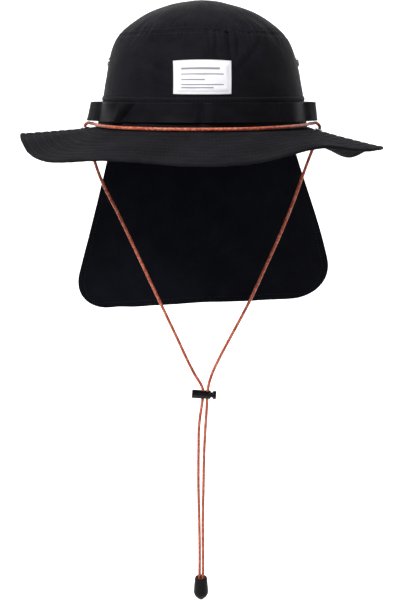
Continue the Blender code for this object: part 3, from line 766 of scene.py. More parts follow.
def woven_patch(colours, label):
    """Damask polyester, woven with a satin ground: white with fine sloping threads, and a
    plain woven border line instead of any words."""
    made, tree, shader = new_material("damask_polyester_patch", colours.label, 0.66, 0.30)
    uv, u, v = cloth_place(tree)
    uv, height = plain_weave(tree, 0.45, 0.32)
    yarn = stretched_noise(tree, uv, (0.20, 2.4, 1.0), 2.0)
    soil = stretched_noise(tree, uv, (0.07, 0.09, 1.0), 3.0)
    ground = blend_colours(tree, spread(tree, soil, 0.4, 0.75), colours.label, shade(colours.label, 0.90))
    half_width = label.width / MM / 2
    half_height = label.height / MM / 2
    from_side = add(tree, "ShaderNodeMath", {0: u}, operation="ABSOLUTE").outputs[0]
    from_side = add(tree, "ShaderNodeMath", {0: half_width, 1: from_side}, operation="SUBTRACT").outputs[0]
    from_top = add(tree, "ShaderNodeMath", {0: v, 1: half_height}, operation="SUBTRACT").outputs[0]
    from_top = add(tree, "ShaderNodeMath", {0: from_top}, operation="ABSOLUTE").outputs[0]
    from_top = add(tree, "ShaderNodeMath", {0: half_height, 1: from_top}, operation="SUBTRACT").outputs[0]
    inward = add(tree, "ShaderNodeMath", {0: from_side, 1: from_top}, operation="MINIMUM").outputs[0]
    # A woven edge, a shade greyer than the ground
    drawn = spread(tree, inward, 0.3, 0.9, 0.35, 0.0)
    for height_up, length_along, thick in PATCH_LINES:
        off_row = add(tree, "ShaderNodeMath", {0: v, 1: height_up}, operation="SUBTRACT").outputs[0]
        off_row = add(tree, "ShaderNodeMath", {0: off_row}, operation="ABSOLUTE").outputs[0]
        in_row = spread(tree, off_row, thick * 0.5, thick * 0.5 + 0.25, 1.0, 0.0)
        off_start = add(tree, "ShaderNodeMath", {0: u, 1: half_width - 6.5}, operation="ADD").outputs[0]
        after = spread(tree, off_start, -0.1, 0.1)
        before = spread(tree, off_start, length_along - 0.1, length_along + 0.1, 1.0, 0.0)
        both = add(tree, "ShaderNodeMath", {0: after, 1: before}, operation="MULTIPLY").outputs[0]
        both = add(tree, "ShaderNodeMath", {0: both, 1: in_row}, operation="MULTIPLY").outputs[0]
        drawn = add(tree, "ShaderNodeMath", {0: drawn, 1: both}, operation="MAXIMUM").outputs[0]
    feeds = {0: drawn, 6: ground, 7: (*colours.label_line, 1.0)}
    lined = add(tree, "ShaderNodeMix", feeds, data_type="RGBA").outputs[2]
    # Painted shade: the patch's colour darkens in the hollows between its threads
    tone = spread(tree, height, 0.0, 0.5, 0.88, 1.0)
    scaled = add(tree, "ShaderNodeVectorMath", {0: lined, 3: tone}, operation="SCALE").outputs[0]
    tree.links.new(scaled, shader.inputs["Base Color"])
    total = add(tree, "ShaderNodeMath", {0: height, 1: yarn}, operation="ADD").outputs[0]
    bump = add(tree, "ShaderNodeBump", {"Height": total, "Strength": 1.0, "Distance": 0.05 * MM})
    tree.links.new(bump.outputs["Normal"], shader.inputs["Normal"])
    shader.inputs["Sheen Weight"].default_value = 0.1
    return made


def braided_cord(colours, fittings):
    """Braided polyester cord: orange strands with paler and darker ones among them, so that it
    looks mottled from a distance, and soft light along each strand."""
    made, tree, shader = new_material("braided_polyester_cord", colours.cord, 0.45, 0.45)
    uv, u, v = cloth_place(tree)
    lay = fittings.braid_lay / MM
    girth = math.pi * fittings.cord_diameter / MM
    turns_u = add(tree, "ShaderNodeMath", {0: u, 1: fittings.braid_strands / girth}, operation="MULTIPLY")
    turns_v = add(tree, "ShaderNodeMath", {0: v, 1: fittings.braid_strands / lay}, operation="MULTIPLY")
    one_way = add(
        tree, "ShaderNodeMath", {0: turns_u.outputs[0], 1: turns_v.outputs[0]}, operation="ADD"
    ).outputs[0]
    other_way = add(
        tree, "ShaderNodeMath", {0: turns_u.outputs[0], 1: turns_v.outputs[0]}, operation="SUBTRACT"
    ).outputs[0]
    cell_a = add(tree, "ShaderNodeMath", {0: one_way}, operation="FLOOR").outputs[0]
    cell_b = add(tree, "ShaderNodeMath", {0: other_way}, operation="FLOOR").outputs[0]
    cell = add(tree, "ShaderNodeCombineXYZ", {0: cell_a, 1: cell_b, 2: 0.37}).outputs[0]
    chance = add(tree, "ShaderNodeTexWhiteNoise", {"Vector": cell}, noise_dimensions="3D").outputs["Value"]
    drift = stretched_noise(tree, uv, (0.10, 0.28, 1.0), 2.0)
    mixed = add(tree, "ShaderNodeMath", {0: chance, 1: drift}, operation="ADD").outputs[0]
    light = spread(tree, mixed, 1.00, 1.45)
    dark = spread(tree, mixed, 0.75, 0.35)
    warm = blend_colours(tree, light, colours.cord, colours.cord_light)
    feeds = {0: dark, 6: warm, 7: (*colours.cord_dark, 1.0)}
    mottled = add(tree, "ShaderNodeMix", feeds, data_type="RGBA").outputs[2]
    tree.links.new(mottled, shader.inputs["Base Color"])
    filament = stretched_noise(tree, uv, (3.0, 1.2, 1.0), 2.0)
    bump = add(tree, "ShaderNodeBump", {"Height": filament, "Strength": 1.0, "Distance": 0.05 * MM})
    tree.links.new(bump.outputs["Normal"], shader.inputs["Normal"])
    shader.inputs["Sheen Weight"].default_value = 0.15
    return made


def nickel_plate(colours):
    """Stamped brass under bright nickel: a mirror that fine scratches have softened."""
    made, tree, shader = new_material("nickel_plated_brass", colours.nickel, 0.26, 0.5)
    shader.inputs["Metallic"].default_value = 1.0
    place = add(tree, "ShaderNodeTexCoord").outputs["Object"]
    feeds = {"Vector": place, "Scale": 900.0, "Detail": 3.0, "Roughness": 0.6}
    grain = add(tree, "ShaderNodeTexNoise", feeds).outputs["Fac"]
    tree.links.new(spread(tree, grain, 0.3, 0.7, 0.20, 0.36), shader.inputs["Roughness"])
    bump = add(tree, "ShaderNodeBump", {"Height": grain, "Strength": 0.5, "Distance": 0.02 * MM})
    tree.links.new(bump.outputs["Normal"], shader.inputs["Normal"])
    return made


def moulded_nylon(name, colours, roughness, specular, grain_size, relief):
    """Injection-moulded nylon, black all through, with the fine texture of its mould."""
    made, tree, shader = new_material(name, colours.nylon, roughness, specular)
    shader.inputs["IOR"].default_value = 1.53
    place = add(tree, "ShaderNodeTexCoord").outputs["Object"]
    feeds = {"Vector": place, "Scale": 1000.0 / grain_size, "Detail": 3.0, "Roughness": 0.6}
    grain = add(tree, "ShaderNodeTexNoise", feeds).outputs["Fac"]
    feeds = {"Vector": place, "Scale": 160.0, "Detail": 2.0}
    flow = add(tree, "ShaderNodeTexNoise", feeds).outputs["Fac"]
    amount = spread(tree, flow, 0.35, 0.7)
    tone = blend_colours(tree, amount, shade(colours.nylon, 0.8), shade(colours.nylon, 1.35))
    tree.links.new(tone, shader.inputs["Base Color"])
    rough = spread(tree, grain, 0.3, 0.7, max(0.04, roughness - 0.06), roughness + 0.08)
    tree.links.new(rough, shader.inputs["Roughness"])
    bump = add(tree, "ShaderNodeBump", {"Height": grain, "Strength": 1.0, "Distance": relief * MM})
    tree.links.new(bump.outputs["Normal"], shader.inputs["Normal"])
    return made


def sewing_thread(name, base):
    """Twisted polyester thread: a shade paler than the cloth, with a soft lengthwise shine."""
    made, tree, shader = new_material(name, base, 0.6, 0.12)
    place = add(tree, "ShaderNodeTexCoord").outputs["Object"]
    feeds = {"Vector": place, "Scale": 2200.0, "Detail": 2.0}
    twist = add(tree, "ShaderNodeTexNoise", feeds).outputs["Fac"]
    tree.links.new(
        blend_colours(tree, spread(tree, twist, 0.3, 0.7), shade(base, 0.75), shade(base, 1.2)),
        shader.inputs["Base Color"],
    )
    bump = add(tree, "ShaderNodeBump", {"Height": twist, "Strength": 0.6, "Distance": 0.04 * MM})
    tree.links.new(bump.outputs["Normal"], shader.inputs["Normal"])
    shader.inputs["Sheen Weight"].default_value = 0.1
    return made


# Stitches along lines, by Geometry Nodes


def stitch_tree():
    """Geometry Nodes that lay a stitch at each step along the lines of a mesh."""
    found = bpy.data.node_groups.get("sewn_stitches")
    if found:
        return found
    tree = bpy.data.node_groups.new("sewn_stitches", "GeometryNodeTree")
    interface = tree.interface
    interface.new_socket(name="Lines", in_out="INPUT", socket_type="NodeSocketGeometry")
    for name in ("Pitch", "Stitch Length", "Thread Thickness", "Turn"):
        interface.new_socket(name=name, in_out="INPUT", socket_type="NodeSocketFloat")
    interface.new_socket(name="Seed", in_out="INPUT", socket_type="NodeSocketInt")
    interface.new_socket(name="Thread", in_out="INPUT", socket_type="NodeSocketMaterial")
    interface.new_socket(name="Stitches", in_out="OUTPUT", socket_type="NodeSocketGeometry")
    given = add(tree, "NodeGroupInput").outputs
    curve = add(tree, "GeometryNodeMeshToCurve", {"Mesh": given["Lines"]}).outputs["Curve"]
    steps = add(
        tree, "GeometryNodeResampleCurve", {"Curve": curve, "Length": given["Pitch"]}, mode="LENGTH"
    ).outputs["Curve"]
    tangent = add(tree, "GeometryNodeInputTangent").outputs["Tangent"]
    facing = add(
        tree, "FunctionNodeAlignRotationToVector", {"Vector": tangent}, axis="X"
    ).outputs["Rotation"]
    sway = add(
        tree,
        "FunctionNodeRandomValue",
        {0: (-0.05, -0.05, -0.10), 1: (0.05, 0.05, 0.10), "Seed": given["Seed"]},
        data_type="FLOAT_VECTOR",
    ).outputs[0]
    across = add(tree, "ShaderNodeCombineXYZ", {"Z": given["Turn"]}).outputs[0]
    swayed = add(tree, "ShaderNodeVectorMath", {0: sway, 1: across}, operation="ADD").outputs[0]
    turned_by = add(
        tree,
        "FunctionNodeRotateRotation",
        {"Rotation": facing, "Rotate By": swayed},
        rotation_space="LOCAL",
    ).outputs["Rotation"]
    bead = add(tree, "GeometryNodeMeshIcoSphere", {"Radius": 0.5, "Subdivisions": 1}).outputs["Mesh"]
    thick = given["Thread Thickness"]
    size = add(
        tree, "ShaderNodeCombineXYZ", {"X": given["Stitch Length"], "Y": thick, "Z": thick}
    ).outputs[0]
    stitch = add(tree, "GeometryNodeTransform", {"Geometry": bead, "Scale": size}).outputs["Geometry"]
    uneven = add(
        tree,
        "FunctionNodeRandomValue",
        {0: (0.9, 0.9, 0.9), 1: (1.08, 1.08, 1.08), "Seed": given["Seed"]},
        data_type="FLOAT_VECTOR",
    ).outputs[0]
    laid = add(
        tree,
        "GeometryNodeInstanceOnPoints",
        {"Points": steps, "Instance": stitch, "Rotation": turned_by, "Scale": uneven},
    ).outputs["Instances"]
    real = add(tree, "GeometryNodeRealizeInstances", {"Geometry": laid}).outputs["Geometry"]
    smooth = add(tree, "GeometryNodeSetShadeSmooth", {"Geometry": real}).outputs["Geometry"]
    finished = add(tree, "GeometryNodeSetMaterial", {"Geometry": smooth, "Material": given["Thread"]})
    result = add(tree, "NodeGroupOutput")
    tree.links.new(finished.outputs["Geometry"], result.inputs["Stitches"])
    return tree


def sew(name, lines, thread_material, hat, slot, pitch=None, stitch=None, thickness=None, turn=0.0):
    """Sews along each line of points, given with whether it closes, as one piece of the hat."""
    verts = []
    edges = []
    for points, closed in lines:
        first = len(verts)
        verts.extend(points.tolist())
        edges.extend((k, k + 1) for k in range(first, len(verts) - 1))
        if closed:
            edges.append((len(verts) - 1, first))
    guide_mesh = bpy.data.meshes.new(name + "_lines")
    guide_mesh.from_pydata(verts, edges, [])
    guide = linked(name + "_lines", guide_mesh)
    tree = stitch_tree()
    nodes = guide.modifiers.new("stitches", "NODES")
    nodes.node_group = tree
    values = {
        "Pitch": pitch or hat.thread.pitch,
        "Stitch Length": stitch or hat.thread.stitch,
        "Thread Thickness": thickness or hat.thread.thickness,
        "Turn": turn,
        "Seed": hat.thread.seed,
        "Thread": thread_material,
    }
    for socket in tree.interface.items_tree:
        if socket.in_out == "INPUT" and socket.name in values:
            nodes[socket.identifier] = values[socket.name]
    mesh = settle(guide)
    return add_piece(name, mesh, None, slot)


# The hat's surfaces


def seam_height(crown, azimuth):
    """The height of the tip's seam, by azimuth."""
    return crown.side_height + crown.seam_tilt * np.cos(azimuth)


def side_base(crown):
    """The side wall's plain outer face, by azimuth and height."""

    def base(azimuth, height):
        share = height / seam_height(crown, azimuth)
        width = smooth_through(SIDE_ROWS, share)
        points = oval(azimuth, crown.width / 2 * width, crown.depth / 2 * width, height)
        points[..., 0] += crown.lean * np.sin(math.pi * np.clip(share, 0, 1))
        return points

    return base


def seam_gain(azimuth):
    """How strongly the tip's seam puckers the cloth, most to the right of the front."""
    front = 1.3 * bell(degrees_apart(azimuth, 24), 0, 22)
    side = 0.35 * bell(degrees_apart(azimuth, -28), 0, 16)
    back = 0.45 * bell(degrees_apart(azimuth, 190), 0, 40)
    return 0.45 + front + side + back


def seam_puckers(crown, azimuth, below):
    """The puckers along the tip's seam, from 0 to about 1, by the distance below that seam."""
    around = math.pi * (crown.width + crown.depth) / 2
    cells = int(around / crown.pucker_spacing)
    turn = np.asarray(azimuth) / math.tau
    lean = 0.8 * soft_noise(turn * 24, below / 0.018 + 3, 5, 24)
    fine = ridges(soft_noise(turn * cells + lean, below / 0.026, 11, cells), 2.6)
    finer = ridges(soft_noise(turn * cells * 2 + lean, below / 0.014, 12, cells * 2), 2.0)
    patchy = 0.55 + 0.45 * soft_noise(turn * 17, below / 0.02, 13, 17)
    reach = np.abs(below)
    near = fine * np.exp(-reach / 0.012) * (0.5 + patchy) + 0.5 * finer * np.exp(-reach / 0.005)
    return seam_gain(azimuth) * near


def slack_hollows(crown, azimuth, along):
    """Broad and smaller soft hollows, by the distance along the cloth from the crown's foot."""
    turn = np.asarray(azimuth) / math.tau
    broad = soft_noise(turn * 9 + 0.3, along / 0.034, 21, 9)
    medium = soft_noise(turn * 22, along / 0.017 + 0.6 * np.sin(3 * azimuth), 22, 22)
    small = soft_noise(turn * 60, along / 0.009 + 0.6 * np.sin(5 * azimuth), 23, 60)
    return crown.slack * (broad + 0.30 * medium + 0.10 * small)


def side_relief(crown):
    """The side wall's welt, puckers, creases and soft hollows, in metres along its normal."""

    def relief(azimuth, height):
        seam = seam_height(crown, azimuth)
        below = seam - height
        turn = np.asarray(azimuth) / math.tau
        edge = np.abs(height - crown.welt_rise) / (crown.welt_width / 2)
        total = crown.welt_proud * np.clip(1.35 - edge**4, 0, 1) * np.where(edge < 1.1, 1, 0)
        for offset in (-0.5, 0.5):
            row = crown.welt_rise + offset * crown.welt_width * 0.86
            total = total - 0.35 * MM * bell(height, row, 0.7 * MM)
        total = total - crown.pucker_depth * seam_puckers(crown, azimuth, below)
        total = total - 0.28 * MM * bell(below, 2.4 * MM, 0.7 * MM)
        over_welt = np.maximum(height - crown.welt_rise - crown.welt_width / 2, 0)
        drawn = ridges(soft_noise(turn * 70, height / 0.02, 17, 70), 2.2)
        total = total - 0.22 * MM * drawn * np.exp(-over_welt / 0.006) * (over_welt > 0)
        for crease in CREASES:
            share = np.clip((crease.top * MM - height) / ((crease.top - crease.bottom) * MM), 0, 1)
            centre = crease.top_azimuth + (crease.bottom_azimuth - crease.top_azimuth) * share
            centre = centre + 0.7 * soft_noise(height / 0.009, crease.top_azimuth * 1.7, 19)
            away = np.radians(degrees_apart(azimuth, centre)) * crown.width / 2 * 0.9
            past = np.maximum(crease.bottom * MM - height, 0) + np.maximum(height - crease.top * MM, 0)
            fade = np.exp(-((past / 0.004) ** 2)) * (1 - 0.75 * share)
            wide = crease.width * MM
            dent = bell(away, 0, wide) - 0.45 * bell(away, -2.0 * wide, wide)
            total = total - crease.depth * MM * fade * dent
        calm = np.clip((height - crown.welt_rise) / 0.012, 0, 1)
        return total + calm * slack_hollows(crown, azimuth, height)

    return relief


def tip_base(crown):
    """The tip's plain outer face, by azimuth and by width, which is 1 at its seam."""

    def base(azimuth, width):
        rise = smooth_through(TIP_ROWS, width)
        tilt = crown.seam_tilt * np.cos(azimuth) * width
        height = crown.side_height + crown.gap + tilt + crown.tip_rise * rise
        share = SEAM_SHARE * width
        return oval(azimuth, crown.width / 2 * share, crown.depth / 2 * share, height)

    return base


def tip_relief(crown):
    """The tip's puckers at its seam and its soft radial hollows, along its normal."""

    def relief(azimuth, width):
        inward = (1 - width) * crown.width / 2 * SEAM_SHARE
        total = -crown.pucker_depth * seam_puckers(crown, azimuth, -inward)
        for centre, depth, reach, spot in TIP_DENTS:
            lineup = bell(degrees_apart(azimuth, centre), 0, spot * (0.4 + 0.6 * width))
            fade = np.exp(-inward / (reach * MM)) * np.clip(width * 2, 0, 1)
            total = total - depth * MM * lineup * fade
        total = total - 0.20 * MM * bell(inward, 2.2 * MM, 0.7 * MM)
        calm = np.clip(width / 0.35, 0, 1)
        return total + calm * slack_hollows(crown, azimuth, crown.side_height + 1.1 * inward)

    return relief


def brim_base(hat):
    """The brim's plain top face, by azimuth and by out, which is 0 at its collar and 1 at its edge."""
    crown, brim = hat.crown, hat.brim

    def base(azimuth, out):
        share = BRIM_BASE
        for fold in BRIM_FOLDS:
            away = degrees_apart(azimuth, fold.azimuth)
            share = share - fold.lift * bell(away, 0, fold.half_width)
        height = -brim.drop * share * np.maximum(out, 0) ** BRIM_CURL
        half_width = (crown.width / 2 + brim.collar) * (1 - out) + brim.width / 2 * out
        half_depth = (crown.depth / 2 + brim.collar) * (1 - out) + brim.depth / 2 * out
        return oval(azimuth, half_width, half_depth, height)

    return base


def brim_slope_width(hat):
    """How wide the brim is from its collar to its edge."""
    return (hat.brim.width - hat.crown.width) / 2 - hat.brim.collar


def brim_rows(hat):
    """Where the brim's rows of stitches lie, as values of out, with the hem's row last."""
    brim = hat.brim
    reach = brim_slope_width(hat)
    last = reach - brim.hem
    count = int((last - brim.first_row) / brim.row_pitch)
    spacing = (last - brim.first_row) / count
    return [(brim.first_row + k * spacing) / reach for k in range(count + 1)]


def brim_relief(hat, under=False):
    """Grooves where the stitches sink in and small wrinkles between them, along the normal."""
    brim = hat.brim
    reach = brim_slope_width(hat)
    rows = brim_rows(hat)
    seed = 60 if under else 40

    def relief(azimuth, out):
        turn = np.asarray(azimuth) / math.tau
        away = out * reach
        phase = (away - rows[0] * reach) / (rows[1] - rows[0]) / reach
        between = 0.5 - 0.5 * np.cos(math.tau * phase)
        inside = (out > rows[0] - 0.03) * (out < rows[-1] + 0.002)
        total = 0.16 * MM * between * inside
        for row in rows:
            total = total - brim.groove * bell(away, row * reach, 0.75 * MM)
        stagger = np.floor(phase)
        fine = soft_noise(turn * 150 + stagger * 7.3, phase * 1.0, seed + 1, 150)
        finer = soft_noise(turn * 230 + stagger * 3.1, phase * 2.0, seed + 2, 230)
        total = total + brim.crinkle * (0.7 * fine + 0.4 * finer) * (0.25 + 0.75 * between) * (out > 0.02)
        roll = np.clip((out - rows[-1]) * reach / (1.2 * MM), 0, 1)
        total = total + 0.30 * MM * roll
        flat = np.clip(out / 0.05, 0, 1)
        return total * flat

    return relief


def brim_face(hat, azimuth, out, under=False, lift=0.0):
    """Points of the brim's top or under face, moved away from the cloth by lift."""
    relief = brim_relief(hat, under)
    sign = -1 if under else 1
    height = -hat.brim.wall - lift if under else lift
    # Out grows away from the crown, so the azimuth's step is turned round to point normals up
    return face(brim_base(hat), lambda a, o: sign * relief(a, o), azimuth, out, height, du=-0.004)


def band_stand_off(hat, azimuth, up):
    """How far the ribbon stands off the crown, with a slanted fold left of the front."""
    degrees = degrees_apart(azimuth, 0)
    shift = TACK_LEAN * (2 * up - 1) * bell(degrees, -43, 9)
    share = smooth_through(BAND_ROWS, degrees - shift)
    leaning = 2.6 * MM * up * bell(degrees, -60, 11)
    return hat.crown.gap + 0.05 * MM + hat.band.loop_reach * np.clip(share, 0, None) + leaning


def band_base(hat):
    """The ribbon's plain inner face, by azimuth and by up, which is 0 at its lower edge."""
    band = hat.band
    side = side_base(hat.crown)

    def base(azimuth, up):
        height = band.rise - band.side_sag * np.sin(azimuth) ** 2 + band.width * up
        off = band_stand_off(hat, azimuth, up)
        at = side(azimuth, height)
        outward = to_unit(oval(azimuth, hat.crown.depth, hat.crown.width, 0.0))
        return at + outward * off[..., None]

    return base


def band_relief(hat):
    """The ribbon's pleat at the front tack, its pinched tacks and its thicker edges."""
    band = hat.band

    def relief(azimuth, up):
        turn = np.asarray(azimuth) / math.tau
        degrees = degrees_apart(azimuth, 0)
        width = 0.8 + 1.7 * (1 - up)
        total = -0.2 * band.pleat * bell(degrees, 0.3, width)
        total = total + 0.8 * band.pleat * bell(degrees, -3.4 + 1.0 * up, 1.5) * (1 - 0.4 * up)
        total = total + 0.5 * band.pleat * bell(degrees, 4.6, 2.2)
        soft = soft_noise(turn * 26, up * 1.4 + 0.8 * np.sin(4 * azimuth), 71, 26)
        free = np.clip(smooth_through(BAND_ROWS, degrees) * 6, 0.25, 1)
        total = total + 0.35 * MM * (soft + 0.6) * free
        rim = np.exp(-np.minimum(up, 1 - up) * band.width / (0.7 * MM))
        return total + 0.12 * MM * rim

    return relief


def flap_base(hat):
    """The curtain's plain middle surface, by across, from -1 to 1, and by down, from 0 to 1."""
    crown, brim, flap = hat.crown, hat.brim, hat.flap
    half_angle = math.radians(FLAP_HALF_ANGLE)

    def base(across, down):
        to_bottom = (1 - down) * flap.length
        # The right corner is cut rounder than the left one
        corner = np.where(across > 0, *FLAP_CORNERS) * flap.corner
        rounding = np.clip(corner - to_bottom, 0, corner)
        shortening = corner - np.sqrt(corner**2 - rounding**2)
        share = across * (1 - 2 * shortening / flap.bottom_width)
        half_width = (crown.width - crown.wall) / 2
        half_depth = (crown.depth - crown.wall) / 2
        top = oval(math.pi - share * half_angle, half_width, half_depth, 0.0)
        fuller = FLAP_BULGE * MM * np.sin(math.pi * np.clip(down, 0, 1)) * np.clip(share, 0, 1) ** 2
        x = flap.bottom_width / 2 * share + fuller
        ripple = FLAP_RIPPLE * MM * np.cos(1.5 * math.tau * share)
        y = half_depth + flap.swing - flap.bow * share**2 + ripple
        drop = flap.length + flap.belly * (1 - share**2) - flap.tilt * share
        x, y, drop, fall = np.broadcast_arrays(x, y, drop, down)
        at = np.empty(x.shape + (3,))
        at[..., 0] = top[..., 0] * (1 - fall) + x * fall
        at[..., 1] = top[..., 1] * (1 - fall) + y * fall
        at[..., 2] = -brim.wall - crown.gap - drop * fall
        return at

    return base


def flap_relief(hat):
    """Soft hanging folds that grow downwards, and a faint crumple in the cloth."""
    flap = hat.flap

    def relief(across, down):
        lean = 0.35 * soft_noise(across * 2 + 9, down * 2, 81)
        folds = soft_noise(across * 4.3 + lean + 30, down * 0.8, 82)
        small = soft_noise(across * 11 + lean + 50, down * 4.0, 83)
        crumple = soft_noise(across * 26 + 70, down * 15, 84)
        total = flap.drape * folds * (0.25 + 0.75 * down) + 0.30 * MM * small + 0.10 * MM * crumple
        return total * np.clip(down / 0.12, 0, 1)

    return relief


def label_base(hat):
    """The patch's plain back, by its millimetres across and up from its lower left corner."""
    side = side_base(hat.crown)
    label = hat.label

    def base(across, up):
        height = label.rise + label.height * up + 0.0 * across
        share = smooth_through(SIDE_ROWS, height / seam_height(hat.crown, 0.0))
        azimuth = np.arcsin((across - label.shift) / (hat.crown.width / 2 * share))
        return face(side, lambda a, h: 0.0 * a, azimuth, height, hat.crown.gap, dv=0.4 * MM)

    return base


# Operators


def settings(context):
    """The hat's sizes and colours, which the scene keeps."""
    return context.scene.sun_hat


def spaced(low, high, count, centres=(), offsets=()):
    """Even values from low to high, with more of them at the offsets round each centre."""
    values = list(np.linspace(low, high, count))
    for centre in centres:
        values.extend(centre + offset for offset in offsets)
    values = np.array(sorted(v for v in values if low <= v <= high))
    step = (high - low) / count * 0.12
    kept = [values[0]]
    for value in values[1:]:
        if value - kept[-1] > step:
            kept.append(value)
    kept[-1] = high
    return np.array(kept)


def wall_of(outer_face, inner_face, azimuths, outer_rows, inner_rows, rim, scale, height_scale):
    """A closed ring of cloth: its outer face from foot to top, its rim, and its inner face."""
    grid = [outer_face(azimuths, row) for row in outer_rows]
    grid += [rim(azimuths, k) for k in (0.25, 0.5, 0.75)]
    grid += [inner_face(azimuths, row) for row in inner_rows]
    points = np.stack(grid)
    heights = list(outer_rows * height_scale)
    heights += [heights[-1] + 0.4 * k for k in (1, 2, 3)]
    heights += list(heights[-1] + (inner_rows[0] - inner_rows) * height_scale)
    heights.append(heights[-1] + 1.5)
    u = np.append(azimuths, azimuths[0] + math.tau) * scale
    uvs = np.stack(np.meshgrid(u, np.array(heights)), axis=-1)
    return points, uvs


class SUNHAT_OT_camera(Operator):
    """Add the camera where the photograph was taken"""

    bl_idname = "sun_hat.camera"
    bl_label = "Camera"

    def execute(self, context):
        data = bpy.data.cameras.new("hat_camera")
        data.sensor_width = 36.0
        data.lens = CAMERA_LENS
        camera = linked("hat_camera", data)
        camera.location = [c * MM for c in CAMERA_PLACE]
        camera.rotation_euler = (math.radians(90 - CAMERA_TILT), 0.0, 0.0)
        context.scene.camera = camera
        return {"FINISHED"}


def cord_line(spacing):
    """Points at even steps on the smooth curve through the cord's route, in metres."""
    points = np.array(CORD_ROUTE, float) * MM
    spans = np.linalg.norm(np.diff(points, axis=0), axis=1)
    slopes = np.empty_like(points)
    unit = np.diff(points, axis=0) / spans[:, None]
    slopes[0] = unit[0]
    slopes[-1] = unit[-1]
    before, after = spans[:-1, None], spans[1:, None]
    slopes[1:-1] = (unit[:-1] * after + unit[1:] * before) / (before + after)
    fine = []
    for k, span in enumerate(spans):
        t = (np.arange(40) / 40)[:, None]
        at = points[k] * (2 * t**3 - 3 * t**2 + 1) + points[k + 1] * (3 * t**2 - 2 * t**3)
        at = at + slopes[k] * span * (t**3 - 2 * t**2 + t) + slopes[k + 1] * span * (t**3 - t**2)
        fine.append(at)
    fine = np.concatenate(fine + [points[-1:]])
    reach = np.concatenate([[0], np.cumsum(np.linalg.norm(np.diff(fine, axis=0), axis=1))])
    count = int(reach[-1] / spacing) + 1
    goals = np.linspace(0, reach[-1], count)
    line = np.stack([np.interp(goals, reach, fine[:, k]) for k in range(3)], axis=-1)
    return line, goals


class SUNHAT_OT_cord(Operator):
    """Braid the chin cord along its route"""

    bl_idname = "sun_hat.cord"
    bl_label = "Chin Cord"

    def execute(self, context):
        hat = settings(context)
        fittings = hat.fittings
        line, reach = cord_line(BRAID_STEP)
        tangent = to_unit(np.gradient(line, axis=0))
        normal = np.empty_like(line)
        normal[0] = (0, 1, 0)
        for k in range(1, len(line)):
            carried = normal[k - 1] - tangent[k] * (normal[k - 1] @ tangent[k])
            normal[k] = carried / np.linalg.norm(carried)
        binormal = np.cross(tangent, normal)
        sides = 24
        turn = np.arange(sides) / sides
        angle = turn * math.tau
        strands = fittings.braid_strands
        one_way = strands * (turn[None, :] + reach[:, None] / fittings.braid_lay)
        other_way = strands * (turn[None, :] - reach[:, None] / fittings.braid_lay)
        over = (np.floor(one_way) + np.floor(other_way)) % 2
        round_a = np.abs(np.sin(math.pi * one_way))
        round_b = np.abs(np.sin(math.pi * other_way))
        height = np.where(over > 0, round_a, round_b) - 0.6
        radius = fittings.cord_diameter / 2 + fittings.braid_relief * height
        ring = np.cos(angle)[None, :, None] * normal[:, None]
        ring = ring + np.sin(angle)[None, :, None] * binormal[:, None]
        points = line[:, None] + ring * radius[..., None]
        u = np.append(turn, 1.0) * math.pi * fittings.cord_diameter / MM
        v = reach / MM
        uvs = np.stack(np.meshgrid(u, v), axis=-1)
        points = points[:, ::-1]
        uvs = uvs[:, ::-1]
        poles = [(0, line[0], -0.5), (len(line) - 1, line[-1], 0.5)]
        mesh = skin("chin_cord_braid", points, uvs, close_columns=True, poles=poles)
        outward_faces(mesh)
        piece = add_piece(
            "chin_cord_braid", mesh, braided_cord(hat.colours, fittings), "cord_braid", "chin_cord"
        )
        piece["cord_length"] = float(reach[-1])
        return {"FINISHED"}


def outward_faces(mesh):
    """Turns the faces of a closed mesh outwards."""
    bm = bmesh.new()
    bm.from_mesh(mesh)
    bmesh.ops.recalc_face_normals(bm, faces=bm.faces)
    bm.to_mesh(mesh)
    bm.free()
    mesh.update()


